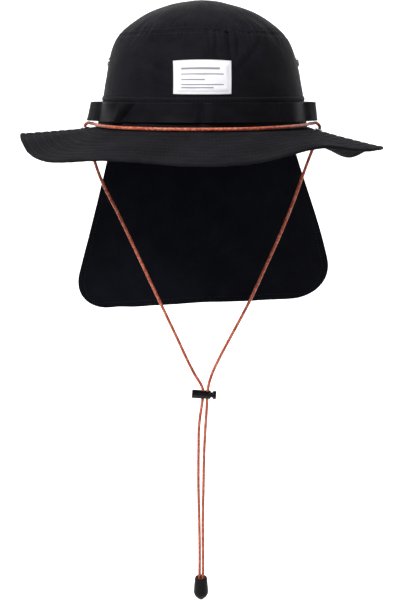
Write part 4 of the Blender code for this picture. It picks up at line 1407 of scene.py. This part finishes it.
class SUNHAT_OT_crown(Operator):
    """Build the crown's side wall and its domed tip"""

    bl_idname = "sun_hat.crown"
    bl_label = "Crown"

    def execute(self, context):
        hat = settings(context)
        crown = hat.crown
        finish = crown_nylon(hat.colours)
        self.build_side(hat, crown, finish)
        self.build_tip(crown, finish)
        return {"FINISHED"}

    def build_side(self, hat, crown, finish):
        azimuths = np.arange(400) / 400 * math.tau
        base, relief = side_base(crown), side_relief(crown)
        top = crown.side_height
        welt = [crown.welt_rise + k * crown.welt_width / 2 for k in (-1, 1)]
        offsets = [k * MM for k in (-1.0, -0.4, 0.0, 0.4, 1.0)]
        outer = spaced(crown.gap, top, 66, [*welt, top - 2.4 * MM], offsets)
        inner = np.linspace(top, crown.gap, 22)

        def outside(azimuth, row):
            height = row / top * seam_height(crown, azimuth)
            return face(base, relief, azimuth, height, dv=SIDE_STEP)

        def inside(azimuth, row):
            height = row / top * seam_height(crown, azimuth)
            return face(base, relief, azimuth, height, -crown.wall, dv=SIDE_STEP)

        def rim(azimuth, k):
            height = seam_height(crown, azimuth) + 0.15 * MM * math.sin(math.pi * k)
            return face(base, relief, azimuth, height, -crown.wall * k, dv=SIDE_STEP)

        points, uvs = wall_of(outside, inside, azimuths, outer, inner, rim, crown.width / 2 / MM, 1 / MM)
        mesh = skin("crown_side_cloth", points, uvs, close_columns=True, close_rows=True)
        holes = []
        for azimuth in (-math.pi / 2, math.pi / 2):
            height = np.array([hat.fittings.eyelet_rise])
            place = face(base, relief, np.array([azimuth]), height, dv=SIDE_STEP)[0]
            bore = hat.fittings.eyelet_bore + 1.4 * MM
            holes.append((Vector(place), eyelet_direction(hat, azimuth), bore))
        mesh = pierced(mesh, holes)
        mesh.set_sharp_from_angle(angle=math.radians(55))
        add_piece("crown_side_cloth", mesh, finish, "crown_cloth", "crown_side")

    def build_tip(self, crown, finish):
        azimuths = np.arange(360) / 360 * math.tau
        base, relief = tip_base(crown), tip_relief(crown)
        widths = spaced(0.03, 1.0, 40, [0.965, 0.99], [-0.02, -0.01, 0.0, 0.01])
        inner = np.linspace(1.0, 0.03, 16)
        # The width grows downwards, so the azimuth's step is turned round to keep normals outward
        grid = [face(base, relief, azimuths, row, du=-0.01) for row in widths]
        # The edge turns down over the side wall's rim, so that the seam shows no gap
        tuck = np.array([0, 0, crown.gap + 0.25 * MM])
        grid += [face(base, relief, azimuths, 1.0, -0.12 * MM * k, du=-0.01) - tuck * k for k in (0.6, 1.0)]
        grid += [face(base, relief, azimuths, row, -crown.wall, du=-0.01) for row in inner]
        points = np.stack(grid)
        scale = crown.width / 2 * SEAM_SHARE / MM
        # Straight threads: the tip is cut from one flat piece, so its map is its plan
        radii = np.concatenate([widths, [1.0, 1.0], inner]) * scale
        u = np.append(azimuths, math.tau)
        uvs = np.stack([np.outer(radii, np.sin(u)), -np.outer(radii, np.cos(u))], axis=-1)
        top = base(np.array([0.0]), np.array([0.0]))[0]
        poles = [(0, top, -0.001), (len(points) - 1, top - np.array([0, 0, crown.wall]), 0.001)]
        mesh = skin("crown_tip_cloth", points[:, ::-1], uvs[:, ::-1], close_columns=True, poles=poles)
        outward_faces(mesh)
        mesh.set_sharp_from_angle(angle=math.radians(55))
        add_piece("crown_tip_cloth", mesh, finish, "crown_cloth", "crown_tip")


def eyelet_direction(hat, azimuth):
    """The way that a vent eyelet faces, out of the crown's plain face."""
    base = side_base(hat.crown)
    height = hat.fittings.eyelet_rise
    along = base(azimuth + 0.01, height) - base(azimuth - 0.01, height)
    up = base(azimuth, height + MM) - base(azimuth, height - MM)
    return Vector(np.cross(along, up)).normalized()


def grommet_out(hat):
    """Where the grommets sit on the brim, as a value of out."""
    return (hat.brim.grommet_reach - hat.brim.collar) / brim_slope_width(hat)


def grommet_direction(hat, azimuth):
    """The way that a brim grommet faces, out of the brim's plain top."""
    base = brim_base(hat)
    out = grommet_out(hat)
    along = base(azimuth + 0.01, out) - base(azimuth - 0.01, out)
    outward = base(azimuth, out + 0.01) - base(azimuth, out - 0.01)
    return Vector(np.cross(outward, along)).normalized()


class SUNHAT_OT_brim(Operator):
    """Build the brim with its rows of quilting and its hem"""

    bl_idname = "sun_hat.brim"
    bl_label = "Brim"

    def execute(self, context):
        hat = settings(context)
        crown, brim = hat.crown, hat.brim
        azimuths = np.arange(380) / 380 * math.tau
        base = brim_base(hat)
        reach = brim_slope_width(hat)
        start = -(crown.wall + brim.collar) / reach
        end = 1 - brim.wall / 2 / reach
        rows = brim_rows(hat)
        offsets = [k * MM / reach for k in (-1.5, -0.75, 0.0, 0.75, 1.5)]
        outs = spaced(start, end, 34, rows, offsets)
        unders = spaced(start, end, 20, rows, [k * MM / reach for k in (-1.0, 0.0, 1.0)])

        grid = [brim_face(hat, azimuths, out) for out in outs]
        outward = to_unit(base(azimuths, end) - base(azimuths, end - 0.01))
        upper, lower = grid[-1], brim_face(hat, azimuths, end, under=True)
        middle = (upper + lower) / 2
        for k in range(1, 7):
            angle = math.pi * k / 7
            reach_out = np.linalg.norm(upper - middle, axis=-1, keepdims=True) * math.sin(angle)
            grid.append(middle + (upper - middle) * math.cos(angle) + outward * reach_out)
        grid += [brim_face(hat, azimuths, out, under=True) for out in unders[::-1]]
        points = np.stack(grid)
        distances = list(outs * reach / MM)
        distances += [distances[-1] + 0.6 * k for k in range(1, 7)]
        distances += list(distances[-1] + 0.6 + (unders[-1] - unders[::-1]) * reach / MM)
        distances.append(distances[-1] + 2.4)
        # The cloth's threads run round the brim in its bias strips
        u = np.append(azimuths, math.tau) * BRIM_MEAN_RADIUS
        uvs = np.stack(np.meshgrid(u, np.array(distances)), axis=-1)
        mesh = skin("brim_cloth", points, uvs, close_columns=True, close_rows=True)
        outward_faces(mesh)
        holes = []
        for azimuth in (-math.pi / 2, math.pi / 2):
            place = base(np.array([azimuth]), np.array([grommet_out(hat)]))[0]
            holes.append((Vector(place), grommet_direction(hat, azimuth), brim.grommet_bore + 1.4 * MM))
        mesh = pierced(mesh, holes)
        add_piece("brim_cloth", mesh, brim_nylon(hat.colours), "brim_cloth", "brim")
        return {"FINISHED"}


class SUNHAT_OT_band(Operator):
    """Build the ribbon round the crown's foot"""

    bl_idname = "sun_hat.band"
    bl_label = "Band"

    def execute(self, context):
        hat = settings(context)
        band = hat.band
        azimuths = np.arange(720) / 720 * math.tau
        base, relief = band_base(hat), band_relief(hat)
        ups = spaced(0.0, 1.0, 16, [0.0, 1.0], [-0.05, 0.03, 0.05])

        def outside(azimuth, up):
            return face(base, relief, azimuth, up, band.wall, dv=0.02)

        def inside(azimuth, up):
            return face(base, relief, azimuth, up, 0.0, dv=0.02)

        grid = [outside(azimuths, up) for up in ups]
        upper_out, upper_in = outside(azimuths, 1.0), inside(azimuths, 1.0)
        lower_out, lower_in = outside(azimuths, 0.0), inside(azimuths, 0.0)
        lift = np.array([0, 0, 0.22 * MM])
        grid.append((upper_out * 2 + upper_in) / 3 + lift)
        grid.append((upper_out + upper_in * 2) / 3 + lift)
        grid += [inside(azimuths, up) for up in ups[::-1]]
        grid.append((lower_in * 2 + lower_out) / 3 - lift)
        grid.append((lower_in + lower_out * 2) / 3 - lift)
        points = np.stack(grid)
        width = band.width / MM
        heights = list(ups * width) + [width + 0.3, width + 0.7]
        heights += list(width + 1.0 + (1 - ups[::-1]) * width)
        heights += [2 * width + 1.3, 2 * width + 1.7, 2 * width + 2.0]
        steps = np.linalg.norm(np.diff(points[0], axis=0, append=points[0][:1]), axis=1)
        u = np.concatenate([[0], np.cumsum(steps)]) / MM
        uvs = np.stack(np.meshgrid(u, np.array(heights)), axis=-1)
        mesh = skin("hat_band_ribbon", points, uvs, close_columns=True, close_rows=True)
        outward_faces(mesh)
        add_piece("hat_band_ribbon", mesh, ribbon_grosgrain(hat.colours, band), "band_ribbon", "hat_band")
        return {"FINISHED"}


class SUNHAT_OT_flap(Operator):
    """Hang the neck curtain with its hem"""

    bl_idname = "sun_hat.flap"
    bl_label = "Neck Curtain"

    def execute(self, context):
        hat = settings(context)
        flap = hat.flap
        base, relief = flap_base(hat), flap_relief(hat)
        across = np.linspace(-1, 1, 150)
        down = 1 - (1 - np.linspace(0, 1, 120)) ** 1.25
        grid_across, grid_down = np.meshgrid(across, down)
        middle = face(base, relief, grid_across, grid_down)
        edge = self.distance_to_edge(middle)
        fold = np.clip((flap.hem - edge) / (0.8 * MM), 0, 1)
        puff = 0.22 * MM * fold - 0.30 * MM * bell(edge, flap.hem - 0.9 * MM, 0.8 * MM)
        taper = np.clip(edge / (0.8 * MM), 0, 1) ** 0.5
        half = flap.wall / 2 * (0.55 + 0.45 * taper) + puff * taper
        front = face(base, relief, grid_across, grid_down, half)
        back = face(base, relief, grid_across, grid_down, -half)
        points = np.concatenate([front, back[:, ::-1]], axis=1)
        u = grid_across * flap.bottom_width / 2 / MM
        v = -grid_down * flap.length / MM
        face_map = np.stack([u, v], axis=-1)
        uvs = np.concatenate([face_map, face_map[:, ::-1]], axis=1)
        uvs = np.concatenate([uvs, uvs[:, :1]], axis=1)
        mesh = skin("neck_flap_cloth", points, uvs, close_columns=True)
        self.close_ends(mesh, points)
        outward_faces(mesh)
        piece = add_piece("neck_flap_cloth", mesh, flap_knit(hat.colours), "flap_cloth", "neck_flap")
        return {"FINISHED"}

    def distance_to_edge(self, middle):
        """Roughly how far each point is from the curtain's side and lower edges."""
        steps = np.linalg.norm(np.diff(middle, axis=1), axis=2)
        left = np.concatenate([np.zeros((len(middle), 1)), np.cumsum(steps, axis=1)], axis=1)
        right = left[:, -1:] - left
        drops = np.linalg.norm(np.diff(middle, axis=0), axis=2)
        fallen = np.concatenate([np.zeros((1, middle.shape[1])), np.cumsum(drops, axis=0)], axis=0)
        below = fallen[-1:] - fallen
        return np.minimum(np.minimum(left, right), below)

    def close_ends(self, mesh, points):
        """Joins the front and the back along the top and the lower edge."""
        rows, ring = points.shape[:2]
        columns = ring // 2
        bm = bmesh.new()
        bm.from_mesh(mesh)
        bm.verts.ensure_lookup_table()
        layer = bm.loops.layers.uv["cloth"]
        for row in (0, rows - 1):
            for k in range(columns - 1):
                ids = (k, k + 1, ring - 2 - k, ring - 1 - k)
                made = bm.faces.new([bm.verts[row * ring + i] for i in ids])
                made.smooth = True
                for loop in made.loops:
                    for other in loop.vert.link_loops:
                        if other.face is not made:
                            loop[layer].uv = other[layer].uv
                            break
        bm.to_mesh(mesh)
        bm.free()

    def cut_area(self, middle):
        """The area of the curtain's middle surface, which is what it was cut to."""
        a, b = middle[:-1, :-1], middle[:-1, 1:]
        c, d = middle[1:, 1:], middle[1:, :-1]
        first = np.linalg.norm(np.cross(b - a, c - a), axis=-1)
        second = np.linalg.norm(np.cross(c - a, d - a), axis=-1)
        return float((first + second).sum() / 2)


class SUNHAT_OT_label(Operator):
    """Sew the woven patch on the front"""

    bl_idname = "sun_hat.label"
    bl_label = "Front Patch"

    def execute(self, context):
        hat = settings(context)
        label = hat.label
        points, uvs = self.grid(hat)
        mesh = skin("front_label_patch", points, uvs)
        holder = linked("front_label_patch_sheet", mesh)
        wall = holder.modifiers.new("wall", "SOLIDIFY")
        wall.thickness = label.wall
        wall.offset = 1
        wall.use_even_offset = True
        mesh = settle(holder)
        add_piece("front_label_patch", mesh, woven_patch(hat.colours, label), "label_weave", "front_label")
        return {"FINISHED"}

    def grid(self, hat):
        """The patch's back in rows, with a gentle bulge and a top edge that arches up."""
        label = hat.label
        x = np.linspace(-0.5, 0.5, 96) * label.width
        up = np.linspace(0, 1, 56)
        across, grid_up = np.meshgrid(x, up)
        share = across / label.width * 2
        arch = 0.030 * (1 - share**2) * grid_up**2 + 0.012 * np.abs(share) ** 3 * (grid_up < 0.3)
        base = label_base(hat)
        from_row = np.minimum(grid_up, 1 - grid_up) * label.height / label.width * 2
        edge = np.minimum(1 - np.abs(share), from_row)
        dome = np.clip(edge / 0.22, 0, 1)
        dome = dome * dome * (3 - 2 * dome)
        crumple = soft_noise(across / 0.009 + 40, grid_up * 2.6, 91) * 0.35
        lift = label.bulge * dome * (0.75 + crumple)
        sunk = -0.18 * MM * bell(edge, 0.085, 0.03)

        def relief(a, b):
            return lift + sunk

        points = face(base, relief, across, grid_up + arch, dv=0.01)
        uvs = np.stack([across / MM, grid_up * label.height / MM], axis=-1)
        return points, uvs


def ring_profile(diameter, bore, proud, cloth, clearance):
    """A rolled ring on each face of the cloth, with a tube between them. Height 0 is the
    cloth's outer face."""
    rim, hole = diameter / 2, bore / 2
    tube = hole + 0.6 * MM
    middle, half = (hole + rim) / 2, (rim - hole) / 2
    arc = [(half * math.cos(math.pi * k / 12), math.sin(math.pi * k / 12) ** 0.8) for k in range(13)]
    over = [(middle - x, clearance + proud * y) for x, y in arc]
    through = [(tube, clearance), (tube, -cloth - clearance)]
    under = [(middle + x, -cloth - clearance - proud * y) for x, y in arc]
    return over + through + under


class SUNHAT_OT_rings(Operator):
    """Set the brim's grommets and the crown's vent eyelets"""

    bl_idname = "sun_hat.rings"
    bl_label = "Grommets and Eyelets"

    def execute(self, context):
        hat = settings(context)
        brim, fittings = hat.brim, hat.fittings
        finish = nickel_plate(hat.colours)
        clearance = 0.35 * MM
        grommet = ring_profile(
            brim.grommet_width, brim.grommet_bore, brim.grommet_proud, brim.wall, clearance
        )
        eyelet = ring_profile(
            fittings.eyelet_width, fittings.eyelet_bore, fittings.eyelet_proud, hat.crown.wall, clearance
        )
        for side, azimuth in (("left", -math.pi / 2), ("right", math.pi / 2)):
            place = Vector(brim_base(hat)(azimuth, grommet_out(hat)))
            turn = grommet_direction(hat, azimuth).to_track_quat("Z", "Y").to_matrix().to_4x4()
            name = "brim_grommet_ring_" + side
            mesh = turned(name, grommet, Matrix.Translation(place) @ turn, closed=True)
            add_piece(name, mesh, finish, "rivet_metal", "brim_grommet_" + side)
            place = Vector(side_base(hat.crown)(azimuth, fittings.eyelet_rise))
            turn = eyelet_direction(hat, azimuth).to_track_quat("Z", "Y").to_matrix().to_4x4()
            name = "vent_eyelet_ring_" + side
            mesh = turned(name, eyelet, Matrix.Translation(place) @ turn, closed=True)
            add_piece(name, mesh, finish, "rivet_metal", "vent_eyelet_" + side)
        return {"FINISHED"}


class SUNHAT_OT_lock(Operator):
    """Make the spring lock and the end cap on the cord"""

    bl_idname = "sun_hat.lock"
    bl_label = "Cord Lock and End Cap"

    def execute(self, context):
        hat = settings(context)
        self.build_lock(hat, hat.fittings)
        self.build_cap(hat, hat.fittings)
        self.declare_cord(hat)
        return {"FINISHED"}

    def build_lock(self, hat, fittings):
        # Glossy nylon from a polished mould: sharp streaks of light along the barrel
        finish = moulded_nylon("polished_nylon_lock", hat.colours, 0.22, 0.24, 1.2, 0.010)
        seat = Matrix.Translation(Vector(LOCK_PLACE) * MM)
        seat = seat @ Euler((0, math.pi / 2 + math.radians(LOCK_TURN), 0)).to_matrix().to_4x4()
        half_slot = (fittings.strand_spacing + fittings.cord_diameter) / 2 + fittings.strand_clearance
        mouth = half_slot + fittings.lock_lip
        back = mouth - fittings.lock_length
        outer, bore = fittings.lock_diameter / 2, fittings.lock_bore / 2
        barrel = rounded(
            [
                (0, back),
                (outer * 0.93, back),
                (outer, back + 0.5 * MM),
                (outer, mouth - 2.2 * MM),
                (outer - 0.25 * MM, mouth - 2.0 * MM),
                (outer - 0.25 * MM, mouth - 1.6 * MM),
                (outer, mouth - 1.4 * MM),
                (outer, mouth),
                (bore, mouth),
                (bore, back + fittings.lock_floor),
                (0, back + fittings.lock_floor),
            ],
            0.45 * MM,
        )
        mesh = turned("cord_lock_barrel_shell", barrel, Matrix.Identity(4), steps=64)
        mesh = self.slotted(mesh, fittings, -half_slot, half_slot, seat)
        add_piece("cord_lock_barrel_shell", mesh, finish, "lock_nylon", "cord_lock_barrel")
        rod, button = bore - hat.crown.gap, fittings.button_diameter / 2
        start = mouth + fittings.button_stand_off
        end = start + fittings.button_thickness
        plunger = rounded(
            [
                (0, mouth - fittings.plunger_length),
                (rod, mouth - fittings.plunger_length),
                (rod, start),
                (button, start),
                (button, end),
                (button * 0.62, end + 0.05 * MM),
                (button * 0.50, end - 0.35 * MM),
                (0, end - 0.35 * MM),
            ],
            0.7 * MM,
        )
        mesh = turned("cord_lock_plunger_stem", plunger, Matrix.Identity(4), steps=64)
        mesh = self.slotted(mesh, fittings, -half_slot, half_slot + fittings.lock_travel, seat)
        add_piece(
            "cord_lock_plunger_stem", mesh, finish, "lock_nylon", "cord_lock_plunger", body="plunger"
        )

    def slotted(self, mesh, fittings, low, high, seat):
        """Cuts a round-ended slot for the two strands, then moves the mesh to the lock's seat."""
        radius = fittings.cord_diameter / 2 + fittings.strand_clearance
        bm = bmesh.new()
        outline = []
        for centre, start in ((high - radius, 0.0), (low + radius, math.pi)):
            for k in range(13):
                angle = start + math.pi * k / 12
                outline.append((radius * math.cos(angle), centre + radius * math.sin(angle)))
        near = [bm.verts.new((-2 * fittings.lock_diameter, y, z)) for y, z in outline]
        far = [bm.verts.new((2 * fittings.lock_diameter, y, z)) for y, z in outline]
        bm.faces.new(near[::-1])
        bm.faces.new(far)
        for k in range(len(outline)):
            after = (k + 1) % len(outline)
            bm.faces.new((near[k], near[after], far[after], far[k]))
        bmesh.ops.recalc_face_normals(bm, faces=bm.faces)
        tool_mesh = bpy.data.meshes.new("slot")
        bm.to_mesh(tool_mesh)
        bm.free()
        result = cut_out(mesh, [tool_mesh])
        result.transform(seat)
        result.set_sharp_from_angle(angle=math.radians(40))
        return result

    def build_cap(self, hat, fittings):
        # Satin nylon from a spark-eroded mould: an even, fine-grained matt
        finish = moulded_nylon("satin_nylon_cap", hat.colours, 0.48, 0.14, 0.8, 0.04)
        wide, mouth, bore = fittings.cap_diameter / 2, fittings.cap_mouth / 2, fittings.cap_bore / 2
        tall = fittings.cap_length
        profile = rounded(
            [
                (0, 0),
                (0.25 * wide, 0),
                (0.80 * wide, 0.17 * tall),
                (wide, 0.31 * tall),
                (0.93 * wide, 0.62 * tall),
                (mouth, 0.95 * tall),
                (mouth - 0.4 * MM, tall),
                (bore, tall),
                (bore, tall - fittings.cap_bore_depth),
                (0, tall - fittings.cap_bore_depth),
            ],
            1.6 * MM,
        )
        place = Matrix.Translation(Vector(CAP_PLACE) * MM)
        mesh = turned("cord_end_cap_shell", profile, place, steps=64)
        add_piece("cord_end_cap_shell", mesh, finish, "cap_nylon", "cord_end_cap")

    def declare_cord(self, hat):
        """Works out the cord's line at the path's steps; nothing takes it up."""
        line, reach = cord_line(PATH_STEP)


class SUNHAT_OT_stitches(Operator):
    """Sew the rows of stitches of the crown, brim, band, curtain and patch"""

    bl_idname = "sun_hat.stitches"
    bl_label = "Stitches"

    def execute(self, context):
        hat = settings(context)
        thread = sewing_thread("twisted_polyester_thread", hat.colours.thread)
        pale = sewing_thread("twisted_white_thread", hat.colours.label)
        self.brim_rows(hat, thread)
        self.crown_rows(hat, thread)
        self.band_tacks(hat, thread)
        self.flap_hem(hat, thread)
        self.patch_border(hat, pale)
        return {"FINISHED"}

    def brim_rows(self, hat, thread):
        azimuths = np.arange(240) / 240 * math.tau
        for name, under in (("brim_stitches_top", False), ("brim_stitches_under", True)):
            rows = [brim_face(hat, azimuths, out, under, THREAD_LIFT) for out in brim_rows(hat)]
            sew(name, [(row, True) for row in rows], thread, hat, "brim_cloth")

    def crown_rows(self, hat, thread):
        crown = hat.crown
        azimuths = np.arange(240) / 240 * math.tau
        base, relief = side_base(crown), side_relief(crown)
        lines = []
        for offset in (-0.43, 0.43):
            height = crown.welt_rise + offset * crown.welt_width + 0 * azimuths
            lines.append((face(base, relief, azimuths, height, THREAD_LIFT, dv=SIDE_STEP), True))
        height = seam_height(crown, azimuths) - 2.4 * MM
        lines.append((face(base, relief, azimuths, height, THREAD_LIFT, dv=SIDE_STEP), True))
        width = 1 - 2.2 * MM / (crown.width / 2 * SEAM_SHARE)
        tip = face(tip_base(crown), tip_relief(crown), azimuths, width, THREAD_LIFT, du=-0.01)
        lines.append((tip, True))
        sew("crown_stitches", lines, thread, hat, "crown_cloth")

    def band_tacks(self, hat, thread):
        """A short bar of close stitches, laid across, at each place the ribbon is tacked."""
        band = hat.band
        base, relief = band_base(hat), band_relief(hat)
        lines = []
        for centre in BAND_TACKS:
            ups = np.linspace(0.12, 0.88, 24)
            lean = TACK_LEAN * (2 * ups - 1) if centre == LEANING_TACK else 0 * ups
            azimuths = np.radians(centre + lean)
            lines.append((face(base, relief, azimuths, ups, band.wall + 0.05 * MM, dv=0.02), False))
        sew(
            "band_tacks",
            lines,
            thread,
            hat,
            "band_ribbon",
            pitch=0.62 * MM,
            stitch=1.7 * MM,
            thickness=0.36 * MM,
            turn=math.pi / 2,
        )

    def flap_hem(self, hat, thread):
        flap = hat.flap
        base, relief = flap_base(hat), flap_relief(hat)
        inset = (flap.hem - 0.9 * MM) / (flap.bottom_width / 2)
        rise = (flap.hem - 0.9 * MM) / flap.length
        down = np.linspace(0.08, 1 - rise, 90)
        across = np.linspace(1 - inset, -(1 - inset), 130)
        u = np.concatenate([np.full(90, 1 - inset), across, np.full(90, -(1 - inset))])
        v = np.concatenate([down, np.full(130, 1 - rise), down[::-1]])
        lines = []
        for lift in (flap.wall / 2, -flap.wall / 2):
            lines.append((face(base, relief, u, v, lift), False))
        sew("flap_stitches", lines, thread, hat, "flap_cloth")

    def patch_border(self, hat, thread):
        label = hat.label
        inset = 0.045
        x = (0.5 - inset) * label.width
        up_inset = inset * label.width / label.height
        across = np.linspace(-x, x, 60)
        base = label_base(hat)
        lines = []
        for up in (up_inset, 1 - up_inset):
            share = across / label.width * 2
            arch = 0.030 * (1 - share**2) * up**2
            lift = label.wall + 0.10 * MM
            points = face(base, lambda a, b: 0.0 * a, across, up + arch, lift, dv=0.01)
            lines.append((points, False))
        ups = np.linspace(up_inset, 1 - up_inset, 40)
        for side in (-x, x):
            points = face(base, lambda a, b: 0.0 * a, side + 0 * ups, ups, label.wall + 0.10 * MM, dv=0.01)
            lines.append((points, False))
        sew(
            "patch_stitches",
            lines,
            thread,
            hat,
            "label_weave",
            pitch=2.4 * MM,
            stitch=1.7 * MM,
            thickness=0.36 * MM,
        )


class SUNHAT_OT_stage(Operator):
    """Lay the pale floor and its curved back, and hang the studio lights"""

    bl_idname = "sun_hat.stage"
    bl_label = "Stage and Lights"

    def execute(self, context):
        hat = settings(context)
        self.build_floor(hat)
        self.build_lights()
        scene = context.scene
        scene.view_settings.view_transform = "Standard"
        scene.view_settings.look = "None"
        scene.view_settings.exposure = 0.0
        world = bpy.data.worlds.new("studio")
        scene.world = world
        world.use_nodes = True
        background = world.node_tree.nodes["Background"]
        background.inputs["Color"].default_value = (1.0, 1.0, 1.0, 1.0)
        background.inputs["Strength"].default_value = WORLD_STRENGTH
        return {"FINISHED"}

    def build_floor(self, hat):
        made, tree, shader = new_material("matt_paper_floor", hat.colours.floor, 0.9, 0.1)
        place = add(tree, "ShaderNodeTexCoord").outputs["Object"]
        feeds = {"Vector": place, "Scale": 3.0, "Detail": 2.0}
        cloud = add(tree, "ShaderNodeTexNoise", feeds).outputs["Fac"]
        tone = blend_colours(tree, cloud, shade(hat.colours.floor, 0.985), hat.colours.floor)
        tree.links.new(tone, shader.inputs["Base Color"])
        # The sweep behind the hat glows, as one that studio lamps wash from below does
        parts = add(tree, "ShaderNodeSeparateXYZ", {"Vector": place})
        shader.inputs["Emission Color"].default_value = (1.0, 1.0, 1.0, 1.0)
        glow = spread(tree, parts.outputs["Y"], 0.0, 0.5, 0.0, 0.95)
        tree.links.new(glow, shader.inputs["Emission Strength"])
        x = np.linspace(-5, 5, 21)
        profile = [(y, FLOOR_HEIGHT) for y in (-5.0, 0.0, FLOOR_BEND)]
        for k in range(1, 13):
            angle = math.pi / 2 * k / 12
            height = FLOOR_HEIGHT + FLOOR_BEND * (1 - math.cos(angle))
            profile.append((FLOOR_BEND * (1 + math.sin(angle)), height))
        profile.append((2 * FLOOR_BEND, 5.0))
        points = np.array([[(a, y, z) for a in x] for y, z in profile])
        uvs = np.zeros(points.shape[:2] + (2,))
        mesh = skin("studio_floor", points, uvs)
        floor = linked("studio_floor", mesh)
        mesh.materials.append(made)

    def build_lights(self):
        target = Vector((0, 0, -0.02))
        for name, place, size, power in LIGHTS:
            data = bpy.data.lights.new(name, "AREA")
            data.shape = "SQUARE"
            data.size = size
            data.energy = power
            light = linked(name, data)
            light.location = place
            light.rotation_euler = (target - Vector(place)).to_track_quat("-Z", "Y").to_euler()


OPERATORS = (
    SUNHAT_OT_camera,
    SUNHAT_OT_cord,
    SUNHAT_OT_crown,
    SUNHAT_OT_brim,
    SUNHAT_OT_band,
    SUNHAT_OT_flap,
    SUNHAT_OT_label,
    SUNHAT_OT_rings,
    SUNHAT_OT_lock,
    SUNHAT_OT_stitches,
    SUNHAT_OT_stage,
)


class SUNHAT_PT_panel(Panel):
    """Lists the hat's sizes, colours and building steps"""

    bl_label = "Sun Hat"
    bl_idname = "SUNHAT_PT_panel"
    bl_space_type = "VIEW_3D"
    bl_region_type = "UI"
    bl_category = "Sun Hat"

    def draw(self, context):
        layout = self.layout
        hat = settings(context)
        for part in ("crown", "brim", "band", "flap", "label", "fittings", "thread", "colours"):
            box = layout.box()
            box.label(text=part.capitalize())
            group = getattr(hat, part)
            for name in group.__annotations__:
                box.prop(group, name)
        for operator in OPERATORS:
            layout.operator(operator.bl_idname)


CLASSES = (
    SunHatCrown,
    SunHatBrim,
    SunHatBand,
    SunHatFlap,
    SunHatLabel,
    SunHatFittings,
    SunHatThread,
    SunHatColours,
    SunHatSettings,
    *OPERATORS,
    SUNHAT_PT_panel,
)


def register():
    """Registers the classes and keeps the hat's settings on the scene."""
    for each in CLASSES:
        bpy.utils.register_class(each)
    bpy.types.Scene.sun_hat = PointerProperty(type=SunHatSettings)


def unregister():
    """Takes the settings and the classes away again."""
    del bpy.types.Scene.sun_hat
    for each in reversed(CLASSES):
        bpy.utils.unregister_class(each)


def clear_defaults():
    """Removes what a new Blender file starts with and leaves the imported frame."""
    for obj in list(bpy.data.objects):
        if obj.type in ("CAMERA", "LIGHT") or obj.name == "Cube":
            bpy.data.objects.remove(obj, do_unlink=True)


def main():
    clear_defaults()
    register()
    bpy.ops.sun_hat.camera()
    bpy.ops.sun_hat.cord()
    bpy.ops.sun_hat.crown()
    bpy.ops.sun_hat.brim()
    bpy.ops.sun_hat.band()
    bpy.ops.sun_hat.flap()
    bpy.ops.sun_hat.label()
    bpy.ops.sun_hat.rings()
    bpy.ops.sun_hat.lock()
    bpy.ops.sun_hat.stitches()
    bpy.ops.sun_hat.stage()


if __name__ == "__main__":
    main()
